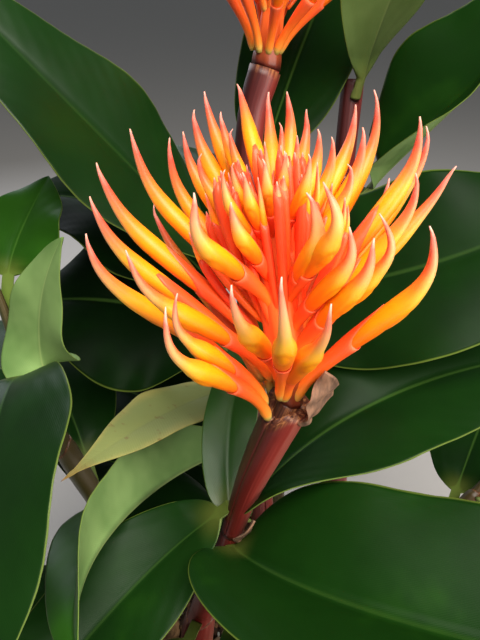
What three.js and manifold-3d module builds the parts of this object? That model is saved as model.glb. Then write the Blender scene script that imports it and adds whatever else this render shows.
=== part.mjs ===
// A potted golden brush ginger: a clump of leafy shoots on one rhizome, two of them with a brush of
// claw-shaped flower buds, in a plain terracotta pot of potting mix.
// Millimetres, +Z up, origin at the centre of the pot's flat foot, front towards -Y.
import * as THREE from 'three';
import { mergeVertices } from 'three/addons/utils/BufferGeometryUtils.js';
import Module from 'manifold-3d';

const wasm = await Module();
wasm.setup();

const clearance = 0.3; // between pieces that touch
const up = new THREE.Vector3(0, 0, 1);
const degrees = Math.PI / 180;

const pot = {
  height: 168,
  footRadius: 68,
  rimRadius: 100,
  rimHeight: 30,
  rimStep: 5,
  wall: 6,
  floor: 9,
  sides: 26,
  drainCount: 4,
  drainRadius: 6,
  drainRing: 38,
};
const soil = { top: 149, dome: 5, sides: 26 };
const rhizome = { centreHeight: 148, knobRadius: 13, linkRadius: 8, linkSides: 5, seat: 158 };
const stalkSides = 7;

// Stalks run from their foot on the rhizome through these points. A sheath ends where the radius steps in,
// at a share of the stalk's length.
const stalks = {
  main: {
    path: [
      [-38, -14, 158], [-37, -17, 190], [-30, -30, 240], [-21, -38, 280], [-12, -42, 318], [0, -45, 355],
    ],
    footRadius: 8.5,
    topRadius: 7.2,
    waistRadius: 4.9,
    sheaths: [0.3, 0.5, 0.62],
  },
  second: {
    path: [[-5, 35, 158], [-5, 37, 190], [-8, 48, 270], [-13, 66, 360], [-11, 79, 415], [-5, 83, 436]],
    footRadius: 8.5,
    topRadius: 7,
    waistRadius: 5.4,
    sheaths: [0.3, 0.5, 0.72],
  },
  third: {
    path: [[36, 40, 158], [36, 42, 190], [34, 64, 290], [33, 88, 380], [36, 101, 428]],
    footRadius: 8,
    topRadius: 6,
    waistRadius: 5.2,
    sheaths: [0.35, 0.6, 0.85],
  },
  left: {
    path: [[-62, 14, 158], [-64, 14, 180], [-80, 12, 240], [-101, 12, 305], [-116, 20, 372]],
    footRadius: 7.5,
    topRadius: 2.2,
    waistRadius: 4.8,
    sheaths: [0.35, 0.6, 0.85],
  },
  right: {
    path: [[54, 2, 158], [58, 3, 178], [80, 10, 225], [108, 20, 268]],
    footRadius: 7,
    topRadius: 2.2,
    waistRadius: 4.6,
    sheaths: [0.35, 0.6, 0.85],
  },
  back: {
    path: [[4, 72, 158], [4, 74, 180], [5, 96, 270], [8, 122, 356]],
    footRadius: 7.5,
    topRadius: 2.2,
    waistRadius: 4.8,
    sheaths: [0.35, 0.6, 0.85],
  },
};

// Leaves: the stalk and the height they leave it, the belly that the midrib bends over, the tip, and the
// width. Roll turns the blade about its midrib, at mid-length and at the tip, and fold lifts both halves,
// in degrees. A blunt base spreads at once and a narrow one slowly, a drawn tip thins early, and rise is how
// far the petiole climbs beside the stalk.
const leaves = {
  leaf_front_right: {
    stalk: 'main', at: 286, belly: [-6, -96, 313], tip: [142, -108, 296], width: 87,
    roll: [8, 11], rollBase: 9, fold: 34, base: 'blunt', petiole: 3, rise: 4,
  },
  leaf_right: {
    stalk: 'main', at: 293, belly: [25, -5, 343], tip: [134, 17, 334], width: 62,
    roll: [19, 12], rollBase: -36, fold: 20, base: 'blunt', petiole: 5,
  },
  leaf_front_left: {
    stalk: 'main', at: 302, belly: [-53, -35, 275], tip: [-110, -121, 247], width: 48,
    roll: [-15, -10], rollBase: -22, fold: 20, petiole: 5, rise: -10,
  },
  leaf_left_curled: {
    stalk: 'second', at: 258, belly: [-88, -50, 306], tip: [-60, -106, 310], width: 48,
    roll: [66, 46], fold: 52,
  },
  leaf_behind_stalk: {
    stalk: 'main', at: 290, belly: [-25, 3, 322], tip: [-4, 24, 352], width: 22, base: 'blunt', rise: 5,
  },
  leaf_upper_left: {
    stalk: 'second', at: 345, belly: [-72, 28, 426], tip: [-122, 40, 476], width: 62, roll: [-40, -30],
  },
  leaf_upper_right: {
    stalk: 'second', at: 335, belly: [34, 2, 358], tip: [122, 18, 406], width: 80,
    roll: [45, 35], base: 'blunt', petiole: 18,
  },
  leaf_old: {
    stalk: 'second', at: 287, belly: [-50, 4, 314], tip: [-76, -50, 325], width: 32,
    roll: [0, -40], base: 'blunt', petiole: 16, drawn: true,
  },
  leaf_back_right: {
    stalk: 'second', at: 385, belly: [12, 125, 450], tip: [52, 165, 510], width: 60, roll: [10, 0],
  },
  leaf_mid_left: {
    stalk: 'second', at: 305, belly: [-50, 58, 343], tip: [-122, 66, 331], width: 84, roll: [-35, -10],
  },
  leaf_low_left: {
    stalk: 'second', at: 215, belly: [-52, 4, 258], tip: [-86, -36, 242], width: 64, roll: [-10, 0],
  },
  leaf_left_deep: { stalk: 'second', at: 236, belly: [-60, 66, 284], tip: [-122, 106, 258], width: 68 },
  leaf_left_shade: { stalk: 'second', at: 325, belly: [-62, 92, 385], tip: [-128, 100, 372], width: 66 },
  leaf_low_deep: { stalk: 'second', at: 205, belly: [-56, 46, 248], tip: [-112, 56, 238], width: 60 },
  leaf_top: {
    stalk: 'third', at: 420, belly: [44, 84, 470], tip: [66, 44, 538], width: 50, base: 'narrow', petiole: 7,
  },
  leaf_top_right: {
    stalk: 'third', at: 372, belly: [54, 72, 399], tip: [120, 56, 480], width: 74, roll: [28, 20], fold: 42,
  },
  leaf_third_back: { stalk: 'third', at: 350, belly: [78, 130, 366], tip: [118, 185, 340], width: 60 },
  leaf_left_rising: { stalk: 'left', at: 352, belly: [-114, 33, 369], tip: [-99, 62, 395], width: 42 },
  leaf_left_hanging: {
    stalk: 'left', at: 300, belly: [-105, 7, 350], tip: [-81, 8, 389], width: 34, roll: [40, 40],
  },
  leaf_left_edge: {
    stalk: 'left', at: 322, belly: [-98, -40, 364], tip: [-88, -118, 300], width: 68, roll: [30, 30],
    base: 'narrow',
  },
  leaf_left_low: { stalk: 'left', at: 280, belly: [-135, 20, 318], tip: [-195, 30, 280], width: 60 },
  leaf_left_back: { stalk: 'left', at: 255, belly: [-112, 75, 310], tip: [-165, 125, 285], width: 60 },
  leaf_left_front: { stalk: 'left', at: 218, belly: [-100, -45, 245], tip: [-140, -105, 215], width: 58 },
  leaf_right_front: { stalk: 'right', at: 252, belly: [140, -32, 284], tip: [180, -88, 250], width: 60 },
  leaf_right_side: { stalk: 'right', at: 262, belly: [158, 28, 290], tip: [216, 46, 248], width: 60 },
  leaf_right_back: { stalk: 'right', at: 236, belly: [124, 82, 276], tip: [166, 140, 255], width: 60 },
  leaf_right_low: { stalk: 'right', at: 212, belly: [96, -52, 242], tip: [112, -122, 206], width: 56 },
  leaf_back_left: { stalk: 'back', at: 345, belly: [-50, 165, 385], tip: [-100, 200, 360], width: 60 },
  leaf_back: { stalk: 'back', at: 330, belly: [22, 185, 365], tip: [30, 250, 325], width: 62 },
  leaf_back_side: { stalk: 'back', at: 290, belly: [72, 150, 325], tip: [130, 185, 300], width: 60 },
  leaf_back_low: { stalk: 'back', at: 260, belly: [-45, 120, 300], tip: [-110, 145, 270], width: 60 },
  leaf_main_low: { stalk: 'main', at: 222, belly: [-48, -85, 245], tip: [-62, -155, 212], width: 60 },
  leaf_main_low_right: { stalk: 'main', at: 240, belly: [10, -80, 255], tip: [52, -145, 215], width: 60 },
};
// Dry bracts: a papery scale curled at the main brush's foot, and the rest of one at the leaf joint.
const scale = { stalk: 'main', petiole: 2, rise: 1, rows: [0, 0.2, 0.5, 0.8] };
const bracts = {
  bract_head: { ...scale, at: 352, belly: [12, -54, 360], tip: [9, -55, 373], width: 12, roll: [0, 40] },
  bract_joint: { ...scale, at: 290, belly: [-14, -48, 296], tip: [-11, -50, 306], width: 8, roll: [0, 30] },
};

const baseSpread = { blunt: 0.28, usual: 0.6, narrow: 1 };
const blade = {
  petioleLength: 15,
  petioleHalfWidth: 2.4,
  petioleThickness: 2.6,
  rise: 14,
  tipHalfWidth: 0.8,
  usualWidth: 60,
  thickness: 0.9,
  ribDepth: 1.3,
  fold: 12,
  droop: 0.12,
  waveHeight: 2.2,
  waves: 2.5,
  rows: [0, 0.05, 0.17, 0.35, 0.55, 0.76, 0.92],
  columns: [-1, -0.55, 0, 0.55, 1],
};

// Buds of the main brush: the side they lean to in degrees (0 is the front, 90 the right), then how far out
// and how high above the brush's foot the claw's knee and its tip stand.
const mainBuds = {
  front: [
    [0, 44, 48, 45, 66], [15, 38, 43, 41, 55], [-18, 35, 47, 37, 60], [-38, 47, 41, 44, 56],
    [-45, 40, 43, 36, 55], [-56, 41, 52, 43, 67], [-40, 31, 66, 27, 78], [31, 33, 67, 24, 77],
    [42, 29, 55, 27, 65], [50, 30, 49, 31, 61], [58, 37, 54, 31, 66],
  ],
  left: [
    [-80, 49, 50, 50, 67], [-96, 46, 53, 50, 72], [-106, 45, 58, 50, 79], [-117, 40, 65, 42, 86],
    [-130, 38, 63, 36, 81],
  ],
  right: [
    [69, 44, 43, 42, 61], [94, 39, 55, 40, 69], [105, 47, 54, 55, 66], [111, 46, 63, 47, 80],
    [114, 50, 62, 52, 76], [121, 31, 65, 33, 79], [131, 46, 68, 45, 86], [131, 33, 71, 36, 84],
  ],
  back: [
    [-137, 34, 69, 34, 82], [-145, 33, 73, 35, 87], [-154, 33, 77, 37, 91], [-170, 25, 84, 33, 92],
    [176, 34, 77, 36, 88], [164, 33, 76, 29, 89], [156, 34, 75, 32, 83],
  ],
  inner: [
    [28, 25, 62, 20, 74], [-172, 21, 80, 27, 86], [-151, 22, 77, 24, 87], [163, 17, 76, 18, 83],
    [102, 23, 64, 23, 73], [127, 23, 67, 24, 78], [137, 22, 70, 23, 80], [145, 15, 72, 16, 80],
    [-150, 17, 74, 19, 83], [-28, 19, 64, 21, 74], [-44, 16, 70, 16, 80], [-25, 12, 68, 14, 79],
    [-126, 24, 70, 23, 78], [-55, 10, 71, 11, 80], [38, 15, 73, 17, 82], [-3, 11, 74, 10, 81],
    [28, 8, 74, 10, 82],
  ],
};
// The row of buds under them that closes the brush at its back.
const backRow = { count: 5, from: 131, to: 229, knee: [45, 43], tip: [51, 58] };
// Young calyces that crowd the top of a brush: each turns a golden angle on from the last.
const youngBuds = {
  count: 11,
  goldenAngle: 137.5,
  innerReach: 2,
  outerReach: 13,
  innerHeight: 82,
  outerHeight: 72,
};
const brush = {
  lean: new THREE.Vector3(-0.12, 0, 1).normalize(),
  core: [[6, 6.4], [18, 9.4], [34, 10.6], [50, 8.6], [62, 5]],
  bodyRadius: 3.0,
  youngRadius: 2.1,
};
// The second brush is younger and closer: its buds stand in rings.
const secondRings = [
  { count: 9, start: 0, knee: [34, 42], tip: [37, 60] },
  { count: 9, start: 20, knee: [27, 52], tip: [28, 70] },
  { count: 7, start: 5, knee: [18, 58], tip: [18, 75] },
];
const secondBrush = { lean: new THREE.Vector3(0.12, 0, 1).normalize(), bodyRadius: 2.7 };

// A three.js geometry as a closed solid.
function solidOf(geometry) {
  const bare = geometry.clone();
  bare.deleteAttribute('normal');
  bare.deleteAttribute('uv');
  const merged = mergeVertices(bare, 1e-4);
  return new wasm.Manifold(
    new wasm.Mesh({
      numProp: 3,
      vertProperties: new Float32Array(merged.attributes.position.array),
      triVerts: new Uint32Array(merged.index.array),
    }),
  );
}

function geometryOf(solid) {
  const mesh = solid.getMesh();
  const points = new Float32Array(mesh.numVert * 3);
  for (let i = 0; i < mesh.numVert; i++) {
    points.set(mesh.vertProperties.subarray(i * mesh.numProp, i * mesh.numProp + 3), i * 3);
  }
  const geometry = new THREE.BufferGeometry();
  geometry.setAttribute('position', new THREE.BufferAttribute(points, 3));
  geometry.setIndex(new THREE.BufferAttribute(mesh.triVerts, 1));
  geometry.computeVertexNormals();
  return geometry;
}

function indexed(points, triangles) {
  const geometry = new THREE.BufferGeometry();
  const places = points.flatMap((p) => [p.x, p.y, p.z]);
  geometry.setAttribute('position', new THREE.Float32BufferAttribute(places, 3));
  geometry.setIndex(triangles);
  return geometry;
}

// Rings of equal count, each counter-clockwise seen from the end, joined into a tube with flat ends.
function loft(rings) {
  const sides = rings[0].length;
  const points = rings.flat();
  const triangles = [];
  for (let i = 0; i + 1 < rings.length; i++) {
    for (let j = 0; j < sides; j++) {
      const a = i * sides + j;
      const b = i * sides + ((j + 1) % sides);
      triangles.push(a, b, b + sides, a, b + sides, a + sides);
    }
  }
  const last = (rings.length - 1) * sides;
  for (let j = 1; j + 1 < sides; j++) {
    triangles.push(0, j + 1, j);
    triangles.push(last, last + j, last + j + 1);
  }
  return indexed(points, triangles);
}

// Two equal grids of points, one over the other, closed round their edges into a thin slab.
function slab(top, bottom) {
  const rows = top.length;
  const columns = top[0].length;
  const points = [...top.flat(), ...bottom.flat()];
  const under = rows * columns;
  const triangles = [];
  const quad = (a, b, c, d) => triangles.push(a, b, c, a, c, d);
  for (let i = 0; i + 1 < rows; i++) {
    for (let j = 0; j + 1 < columns; j++) {
      const a = i * columns + j;
      const b = a + 1;
      const c = b + columns;
      const d = a + columns;
      quad(a, b, c, d);
      triangles.push(a + under, c + under, b + under, a + under, d + under, c + under);
    }
    const left = i * columns;
    const right = left + columns - 1;
    quad(left, left + columns, left + columns + under, left + under);
    quad(right, right + under, right + columns + under, right + columns);
  }
  for (let j = 0; j + 1 < columns; j++) {
    const last = (rows - 1) * columns + j;
    quad(j + 1, j, j + under, j + 1 + under);
    quad(last, last + 1, last + 1 + under, last + under);
  }
  return indexed(points, triangles);
}

function bezier(points, t) {
  let level = points.map((p) => p.clone());
  while (level.length > 1) {
    level = level.slice(1).map((p, i) => level[i].clone().lerp(p, t));
  }
  return level[0];
}

// A smooth curve along a Bezier's control points, measured by its length.
function curveOf(controls, steps = 14) {
  const points = Array.from({ length: steps + 1 }, (_, i) => bezier(controls, i / steps));
  return new THREE.CatmullRomCurve3(points);
}

const vector = (p) => new THREE.Vector3(...p);
const ease = (x) => {
  const t = Math.min(Math.max(x, 0), 1);
  return t * t * (3 - 2 * t);
};

// The pot: a tapered wall with a plain rolled rim, open at the top, with drain holes in its floor.
function potSolid() {
  const rimFoot = pot.height - pot.rimHeight;
  const wallTop = pot.rimRadius - pot.rimStep;
  const profile = [
    [0, 0],
    [pot.footRadius - 2, 0],
    [pot.footRadius, 2],
    [wallTop, rimFoot],
    [pot.rimRadius, rimFoot + 2],
    [pot.rimRadius + 1, pot.height - 3],
    [pot.rimRadius - 2, pot.height],
    [pot.rimRadius - pot.wall - 1, pot.height],
    [pot.rimRadius - pot.wall - 3, pot.height - 4],
    [pot.footRadius - pot.wall, pot.floor],
    [0, pot.floor],
  ].map(([r, z]) => new THREE.Vector2(r, z));
  let solid = solidOf(upright(new THREE.LatheGeometry(profile, pot.sides)));
  for (let i = 0; i < pot.drainCount; i++) {
    const drill = new THREE.CylinderGeometry(pot.drainRadius, pot.drainRadius, 3 * pot.floor, 10);
    upright(drill);
    const angle = ((i + 0.5) / pot.drainCount) * 2 * Math.PI;
    drill.translate(pot.drainRing * Math.cos(angle), pot.drainRing * Math.sin(angle), 0);
    solid = solid.subtract(solidOf(drill));
  }
  return solid;
}

// Turns a shape made round Y so that its axis is Z.
function upright(geometry) {
  return geometry.rotateX(Math.PI / 2);
}

// The inner radius of the pot's wall at a height.
function potInside(z) {
  const low = [pot.footRadius - pot.wall, pot.floor];
  const high = [pot.rimRadius - pot.wall - 3, pot.height - 4];
  return low[0] + ((high[0] - low[0]) * (z - low[1])) / (high[1] - low[1]);
}

// The potting mix fills the pot to below its rim, with a seat for the rhizome.
function soilSolid() {
  const bottom = pot.floor + clearance;
  const room = clearance / Math.cos(Math.PI / pot.sides) + clearance;
  const profile = [
    [0, bottom],
    [potInside(bottom) - room, bottom],
    [potInside(soil.top) - room, soil.top],
    [0, soil.top + soil.dome],
  ].map(([r, z]) => new THREE.Vector2(r, z));
  const mix = solidOf(upright(new THREE.LatheGeometry(profile, soil.sides)));
  return mix.subtract(rhizomeSolid(clearance + 0.05));
}

// The rhizome: a knob under each shoot, and links that join neighbours, cut flat where the shoots stand.
function rhizomeSolid(grow) {
  const feet = Object.values(stalks).map((stalk) => stalk.path[0]);
  const links = [
    ['main', 'second'],
    ['main', 'left'],
    ['second', 'third'],
    ['second', 'back'],
    ['third', 'right'],
  ];
  const parts = feet.map(([x, y]) => {
    const knob = new THREE.SphereGeometry(rhizome.knobRadius + grow, 7, 3);
    knob.translate(x, y, rhizome.centreHeight);
    return solidOf(knob);
  });
  for (const [from, to] of links) {
    const a = vector(stalks[from].path[0]).setZ(rhizome.centreHeight - 2);
    const b = vector(stalks[to].path[0]).setZ(rhizome.centreHeight - 2);
    const thick = rhizome.linkRadius + grow;
    const link = new THREE.CylinderGeometry(thick, thick, a.distanceTo(b), rhizome.linkSides);
    const along = b.clone().sub(a).normalize();
    link.applyQuaternion(new THREE.Quaternion().setFromUnitVectors(new THREE.Vector3(0, 1, 0), along));
    const middle = a.add(b).multiplyScalar(0.5);
    link.translate(middle.x, middle.y, middle.z);
    parts.push(solidOf(link));
  }
  const above = new THREE.BoxGeometry(400, 400, 100);
  above.translate(0, 0, rhizome.seat - clearance + grow + 50);
  return wasm.Manifold.union(parts).subtract(solidOf(above));
}

// A stalk's centre line, with its radius at a share of its length.
function stalkOf(name) {
  const { path, footRadius, topRadius, waistRadius, sheaths } = stalks[name];
  const line = new THREE.CatmullRomCurve3(path.map(vector));
  const radius = (u) => {
    const taper = footRadius + (waistRadius - footRadius) * ease(u / 0.45);
    const flare = (topRadius - waistRadius) * ease((u - 0.68) / 0.32);
    const last = sheaths.filter((s) => s <= u).length;
    return taper + flare - 0.35 * last + 0.35;
  };
  return { line, radius, sheaths };
}

function ringAt(centre, tangent, side, radius, sides) {
  const normal = new THREE.Vector3().crossVectors(tangent, side).normalize();
  return Array.from({ length: sides }, (_, j) => {
    const angle = (j / sides) * 2 * Math.PI;
    return centre
      .clone()
      .addScaledVector(side, radius * Math.cos(angle))
      .addScaledVector(normal, radius * Math.sin(angle));
  });
}

function stalkSolid(name) {
  const { line, radius, sheaths } = stalkOf(name);
  const stops = [0, 0.1, 0.25, 0.4, 0.55, 0.7, 0.8, 0.9, 1];
  const steps = sheaths.flatMap((s) => [s - 0.006, s + 0.001]);
  const rings = [...stops.filter((u) => !sheaths.includes(u)), ...steps]
    .sort((a, b) => a - b)
    .map((u) => {
      const tangent = line.getTangentAt(u);
      if (u === 0) tangent.copy(up);
      const side = new THREE.Vector3(1, 0, 0).addScaledVector(tangent, -tangent.x).normalize();
      return ringAt(line.getPointAt(u), tangent, side, radius(u), stalkSides);
    });
  return solidOf(loft(rings));
}

// Where a stalk's centre line passes a height.
function shareAtHeight(line, z) {
  let low = 0;
  let high = 1;
  for (let i = 0; i < 30; i++) {
    const middle = (low + high) / 2;
    if (line.getPointAt(middle).z < z) low = middle;
    else high = middle;
  }
  return (low + high) / 2;
}

// The midrib leaves the stalk's side, climbs beside it and bends over the belly to the tip.
function midribOf({ stalk, at, belly, tip, petiole = blade.petioleLength, rise = blade.rise }) {
  const { line, radius } = stalkOf(stalk);
  const share = shareAtHeight(line, at);
  const centre = line.getPointAt(share);
  const along = line.getTangentAt(share);
  const out = vector(belly).sub(centre);
  out.addScaledVector(along, -out.dot(along)).normalize();
  const start = centre.clone().addScaledVector(out, radius(share) + clearance + 0.1);
  const climb = start.clone().addScaledVector(out, 0.7 * petiole).addScaledVector(along, rise);
  return { curve: curveOf([start, climb, vector(belly), vector(tip)]), out, along };
}

// Half the blade's width at a share of its length: widest before the middle, falling to a point.
function bladeOutline(u, base, drawn) {
  const widest = 0.42;
  const share = Math.min(Math.max(u, 0), 1);
  if (share < widest) {
    return Math.pow(1 - Math.pow(1 - share / widest, 2), baseSpread[base]);
  }
  const past = (share - widest) / (1 - widest);
  return drawn ? Math.pow(1 - Math.pow(past, 1.3), 1.5) : Math.pow(1 - Math.pow(past, 1.9), 0.95);
}

function leafSolid(leaf, index) {
  const { curve, out, along } = midribOf(leaf);
  const { width, roll = [0, 0], rollBase = 0, fold = blade.fold, rows = blade.rows } = leaf;
  const { base = 'usual', drawn = false } = leaf;
  const [rollMiddle, rollTip] = roll;
  const petiole = (leaf.petiole ?? (base === 'blunt' ? 4 : blade.petioleLength)) / curve.getLength();
  const shares = [0, petiole * 0.75, ...rows.map((u) => petiole + (1 - petiole) * u), 1];
  const top = [];
  const bottom = [];
  shares.forEach((s, row) => {
    const centre = curve.getPointAt(s);
    const tangent = row === 0 ? out.clone() : curve.getTangentAt(s);
    const side = new THREE.Vector3().crossVectors(tangent, row === 0 ? along : up).normalize();
    const normal = new THREE.Vector3().crossVectors(side, tangent).normalize();
    const rollNear = rollBase + (rollMiddle - rollBase) * ease(s / 0.4);
    const roll = (rollNear + (rollTip - rollMiddle) * ease((s - 0.45) / 0.55)) * degrees;
    side.applyAxisAngle(tangent, roll);
    normal.applyAxisAngle(tangent, roll);
    const u = (s - petiole) / (1 - petiole);
    const leafy = ease(u / 0.1);
    const spread = u > 0 ? bladeOutline(u, base, drawn) : 0;
    const least = s < 0.5 ? Math.min(blade.petioleHalfWidth, width / 5) : blade.tipHalfWidth;
    const half = Math.max((spread * width) / 2, least);
    const lift = fold * degrees * leafy * (1 - 0.5 * ease((u - 0.6) / 0.4));
    const thickPetiole = Math.min(blade.petioleThickness, width / 5);
    const size = Math.min(width / blade.usualWidth, 1);
    const upper = [];
    const lower = [];
    for (const t of blade.columns) {
      const wave = Math.sin(2 * Math.PI * blade.waves * u + index + Math.sign(t)) * t * t * spread;
      const reach = half * Math.abs(t);
      const bend = reach * (Math.sin(lift) - blade.droop * Math.abs(t));
      const rise = bend + blade.waveHeight * wave * size;
      const ridge = t === 0 ? blade.ribDepth * (1 - 0.7 * s) * size : 0;
      const thick = thickPetiole + (blade.thickness + ridge - thickPetiole) * leafy;
      const point = centre
        .clone()
        .addScaledVector(side, Math.sign(t) * reach * Math.cos(lift))
        .addScaledVector(normal, leafy * rise);
      upper.push(point.clone().addScaledVector(normal, blade.thickness / 2));
      lower.push(point.clone().addScaledVector(normal, blade.thickness / 2 - thick));
    }
    top.push(upper);
    bottom.push(lower);
  });
  return solidOf(slab(top, bottom));
}

// One bud: a calyx tube, a body that swells out of its mouth, and a claw that turns up to a point. The lowest
// buds leave the core's foot at its edge, with room over the stalk's end.
const rootRoom = 1.9;
const budProfile = [[0, 0.42], [0.3, 0.66], [0.58, 1], [0.7, 0.9], [0.82, 0.46], [1, 0.1]];
const calyxProfile = [[0, 0.7], [0.6, 1], [0.92, 0.9], [1, 0.4]];

function budSolid(frame, azimuth, knee, tip, radius, profile, sides) {
  const angle = azimuth * degrees;
  const out = frame.front.clone().multiplyScalar(Math.cos(angle));
  out.addScaledVector(frame.right, Math.sin(angle));
  const at = (reach, height) =>
    frame.foot.clone().addScaledVector(out, reach).addScaledVector(frame.axis, height);
  const [kneeOut, kneeUp] = knee;
  const fromKnee = kneeUp - 44 + 0.75 * (45 - kneeOut);
  const reach = 4.8 - 3.3 * ease(fromKnee / 30);
  const overStalk = (rootRoom - reach * out.dot(frame.stalkEnd)) / frame.axis.dot(frame.stalkEnd);
  const root = Math.min(Math.max(fromKnee, overStalk), 52);
  const start = at(reach, root);
  const leave = at(reach + 0.12 * kneeOut, root + 0.3 * Math.hypot(kneeOut, kneeUp - root));
  const bend = at(kneeOut, kneeUp);
  const curve = curveOf([start, leave, bend, bend.clone(), at(...tip)]);
  const side = new THREE.Vector3().crossVectors(frame.axis, out).normalize();
  const rings = profile.map(([s, share]) =>
    ringAt(curve.getPointAt(s), curve.getTangentAt(s), side, radius * share, sides),
  );
  return solidOf(loft(rings));
}

function brushFrame(stalkName, lean) {
  const { line } = stalkOf(stalkName);
  const foot = line.getPointAt(1).addScaledVector(line.getTangentAt(1), clearance);
  const front = new THREE.Vector3(0, -1, 0).addScaledVector(lean, lean.y).normalize();
  const right = new THREE.Vector3().crossVectors(lean, front).normalize();
  return { foot, axis: lean, front, right, stalkEnd: line.getTangentAt(1) };
}

// The core of a brush: its foot lies flat over the stalk's end, then it follows the lean.
function coreSolid(frame, footRadius) {
  const stops = [[0, footRadius], ...brush.core];
  const rings = stops.map(([h, r]) => {
    const along = h === 0 ? frame.stalkEnd : frame.axis;
    const side = new THREE.Vector3(1, 0, 0).addScaledVector(along, -along.x).normalize();
    return ringAt(frame.foot.clone().addScaledVector(frame.axis, h), along, side, r, 8);
  });
  return solidOf(loft(rings));
}

function youngSolids(frame, radius) {
  const { count, goldenAngle, innerReach, outerReach, innerHeight, outerHeight } = youngBuds;
  return Array.from({ length: count }, (_, i) => {
    const share = Math.sqrt(i / (count - 1));
    const reach = innerReach + (outerReach - innerReach) * share;
    const height = innerHeight + (outerHeight - innerHeight) * share;
    return budSolid(frame, i * goldenAngle, [reach, height - 8], [reach, height], radius, calyxProfile, 5);
  });
}

// Solids joined into one, without the slivers of space shut in between them.
function outerBody(solids) {
  return wasm.Manifold.union(solids)
    .decompose()
    .sort((a, b) => b.volume() - a.volume())[0];
}

function mainBrushSolid() {
  const frame = brushFrame('main', brush.lean);
  const back = Array.from({ length: backRow.count }, (_, i) => [
    backRow.from + ((backRow.to - backRow.from) * i) / (backRow.count - 1),
    ...backRow.knee,
    ...backRow.tip,
  ]);
  const places = [...Object.values(mainBuds).flat(), ...back];
  const buds = places.map(([azimuth, kneeOut, kneeUp, tipOut, tipUp]) => {
    const size = brush.youngRadius + (brush.bodyRadius - brush.youngRadius) * ease((kneeOut - 8) / 26);
    return budSolid(frame, azimuth, [kneeOut, kneeUp], [tipOut, tipUp], size, budProfile, 5);
  });
  const core = coreSolid(frame, stalks.main.topRadius - 0.7);
  return outerBody([core, ...buds, ...youngSolids(frame, brush.youngRadius)]);
}

function secondBrushSolid() {
  const frame = brushFrame('second', secondBrush.lean);
  const buds = secondRings.flatMap(({ count, start, knee, tip }) =>
    Array.from({ length: count }, (_, i) =>
      budSolid(frame, start + (i * 360) / count, knee, tip, secondBrush.bodyRadius, budProfile, 5),
    ),
  );
  const core = coreSolid(frame, stalks.second.topRadius - 0.7);
  return outerBody([core, ...buds, ...youngSolids(frame, brush.youngRadius)]);
}

const colours = {
  terracotta: 0xb5683f,
  soil: 0x3b2a1e,
  rhizome: 0x9a7a55,
  stalk: 0x6e2a22,
  leaf: 0x1f4a1c,
  oldLeaf: 0x8a8a45,
  bract: 0x8c5a45,
  buds: 0xff9a1c,
};
const finish = (color, roughness) => new THREE.MeshStandardMaterial({ color, roughness, metalness: 0 });
const plant = new THREE.Group();

function place(name, solid, material) {
  const mesh = new THREE.Mesh(geometryOf(solid), material);
  mesh.name = name;
  plant.add(mesh);
}

place('pot', potSolid(), finish(colours.terracotta, 0.85));
place('soil', soilSolid(), finish(colours.soil, 0.95));
place('rhizome', rhizomeSolid(0), finish(colours.rhizome, 0.8));
for (const name of Object.keys(stalks)) {
  place(`stalk_${name}`, stalkSolid(name), finish(colours.stalk, 0.45));
}
Object.entries(leaves).forEach(([name, leaf], index) => {
  place(name, leafSolid(leaf, index), finish(name === 'leaf_old' ? colours.oldLeaf : colours.leaf, 0.3));
});
Object.entries(bracts).forEach(([name, leaf], index) => {
  place(name, leafSolid(leaf, index), finish(colours.bract, 0.8));
});
place('brush_main', mainBrushSolid(), finish(colours.buds, 0.4));
place('brush_second', secondBrushSolid(), finish(colours.buds, 0.4));

export default plant;
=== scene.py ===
import math
import bpy
import numpy as np
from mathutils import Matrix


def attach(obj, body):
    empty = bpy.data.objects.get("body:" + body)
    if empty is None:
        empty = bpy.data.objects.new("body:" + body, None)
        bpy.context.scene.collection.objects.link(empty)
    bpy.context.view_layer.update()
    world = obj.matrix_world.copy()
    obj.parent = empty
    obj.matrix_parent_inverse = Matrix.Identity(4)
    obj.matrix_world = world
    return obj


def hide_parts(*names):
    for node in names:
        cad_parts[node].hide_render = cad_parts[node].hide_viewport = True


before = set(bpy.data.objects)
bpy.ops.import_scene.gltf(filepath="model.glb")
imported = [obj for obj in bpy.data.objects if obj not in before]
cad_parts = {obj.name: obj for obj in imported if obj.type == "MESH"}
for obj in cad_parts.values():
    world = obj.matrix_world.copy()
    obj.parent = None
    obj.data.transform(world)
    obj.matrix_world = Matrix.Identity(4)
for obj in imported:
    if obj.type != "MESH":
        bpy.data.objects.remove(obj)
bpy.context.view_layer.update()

# A potted golden brush ginger: leafy shoots, two brushes of claw-shaped buds, and a terracotta pot of mix.
# Lengths are millimetres in this script and become metres when a mesh is made.
millimetre = 0.001
up = np.array([0.0, 0.0, 1.0])
sideways = np.array([1.0, 0.0, 0.0])  # rings round a line start from this side

camera = {
    "place": (-16.016, -209.723, 479.692),
    "downward": 30.0,  # degrees below the horizon, looking along +Y
    "lens": 36.0,
    "sensor": 36.0,
    "nearest": 10,
    "furthest": 100000,
}
light = {
    "target": (0, 0, 320),
    "key": {"place": (150, -560, 1260), "size": 800, "power": 24.0, "colour": (255, 250, 242)},
    "side": {"place": (700, -640, 430), "size": 600, "power": 9.0, "colour": (255, 246, 236)},
    "back": {"place": (-500, 1000, 900), "size": 900, "power": 7.0, "colour": (234, 240, 250)},
    "sky": (206, 212, 216),
    "skyPower": 0.24,
    "floor": (178, 174, 170),
    "floorReach": 20000,
}


# Curves

def ease(x):
    # three t squared less two t cubed, with t held between 0 and 1
    t = np.clip(x, 0.0, 1.0)
    return t * t * (3.0 - 2.0 * t)


def unit(v):
    # the same direction, one long
    return v / np.maximum(np.linalg.norm(v, axis=-1, keepdims=True), 1e-9)


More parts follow.
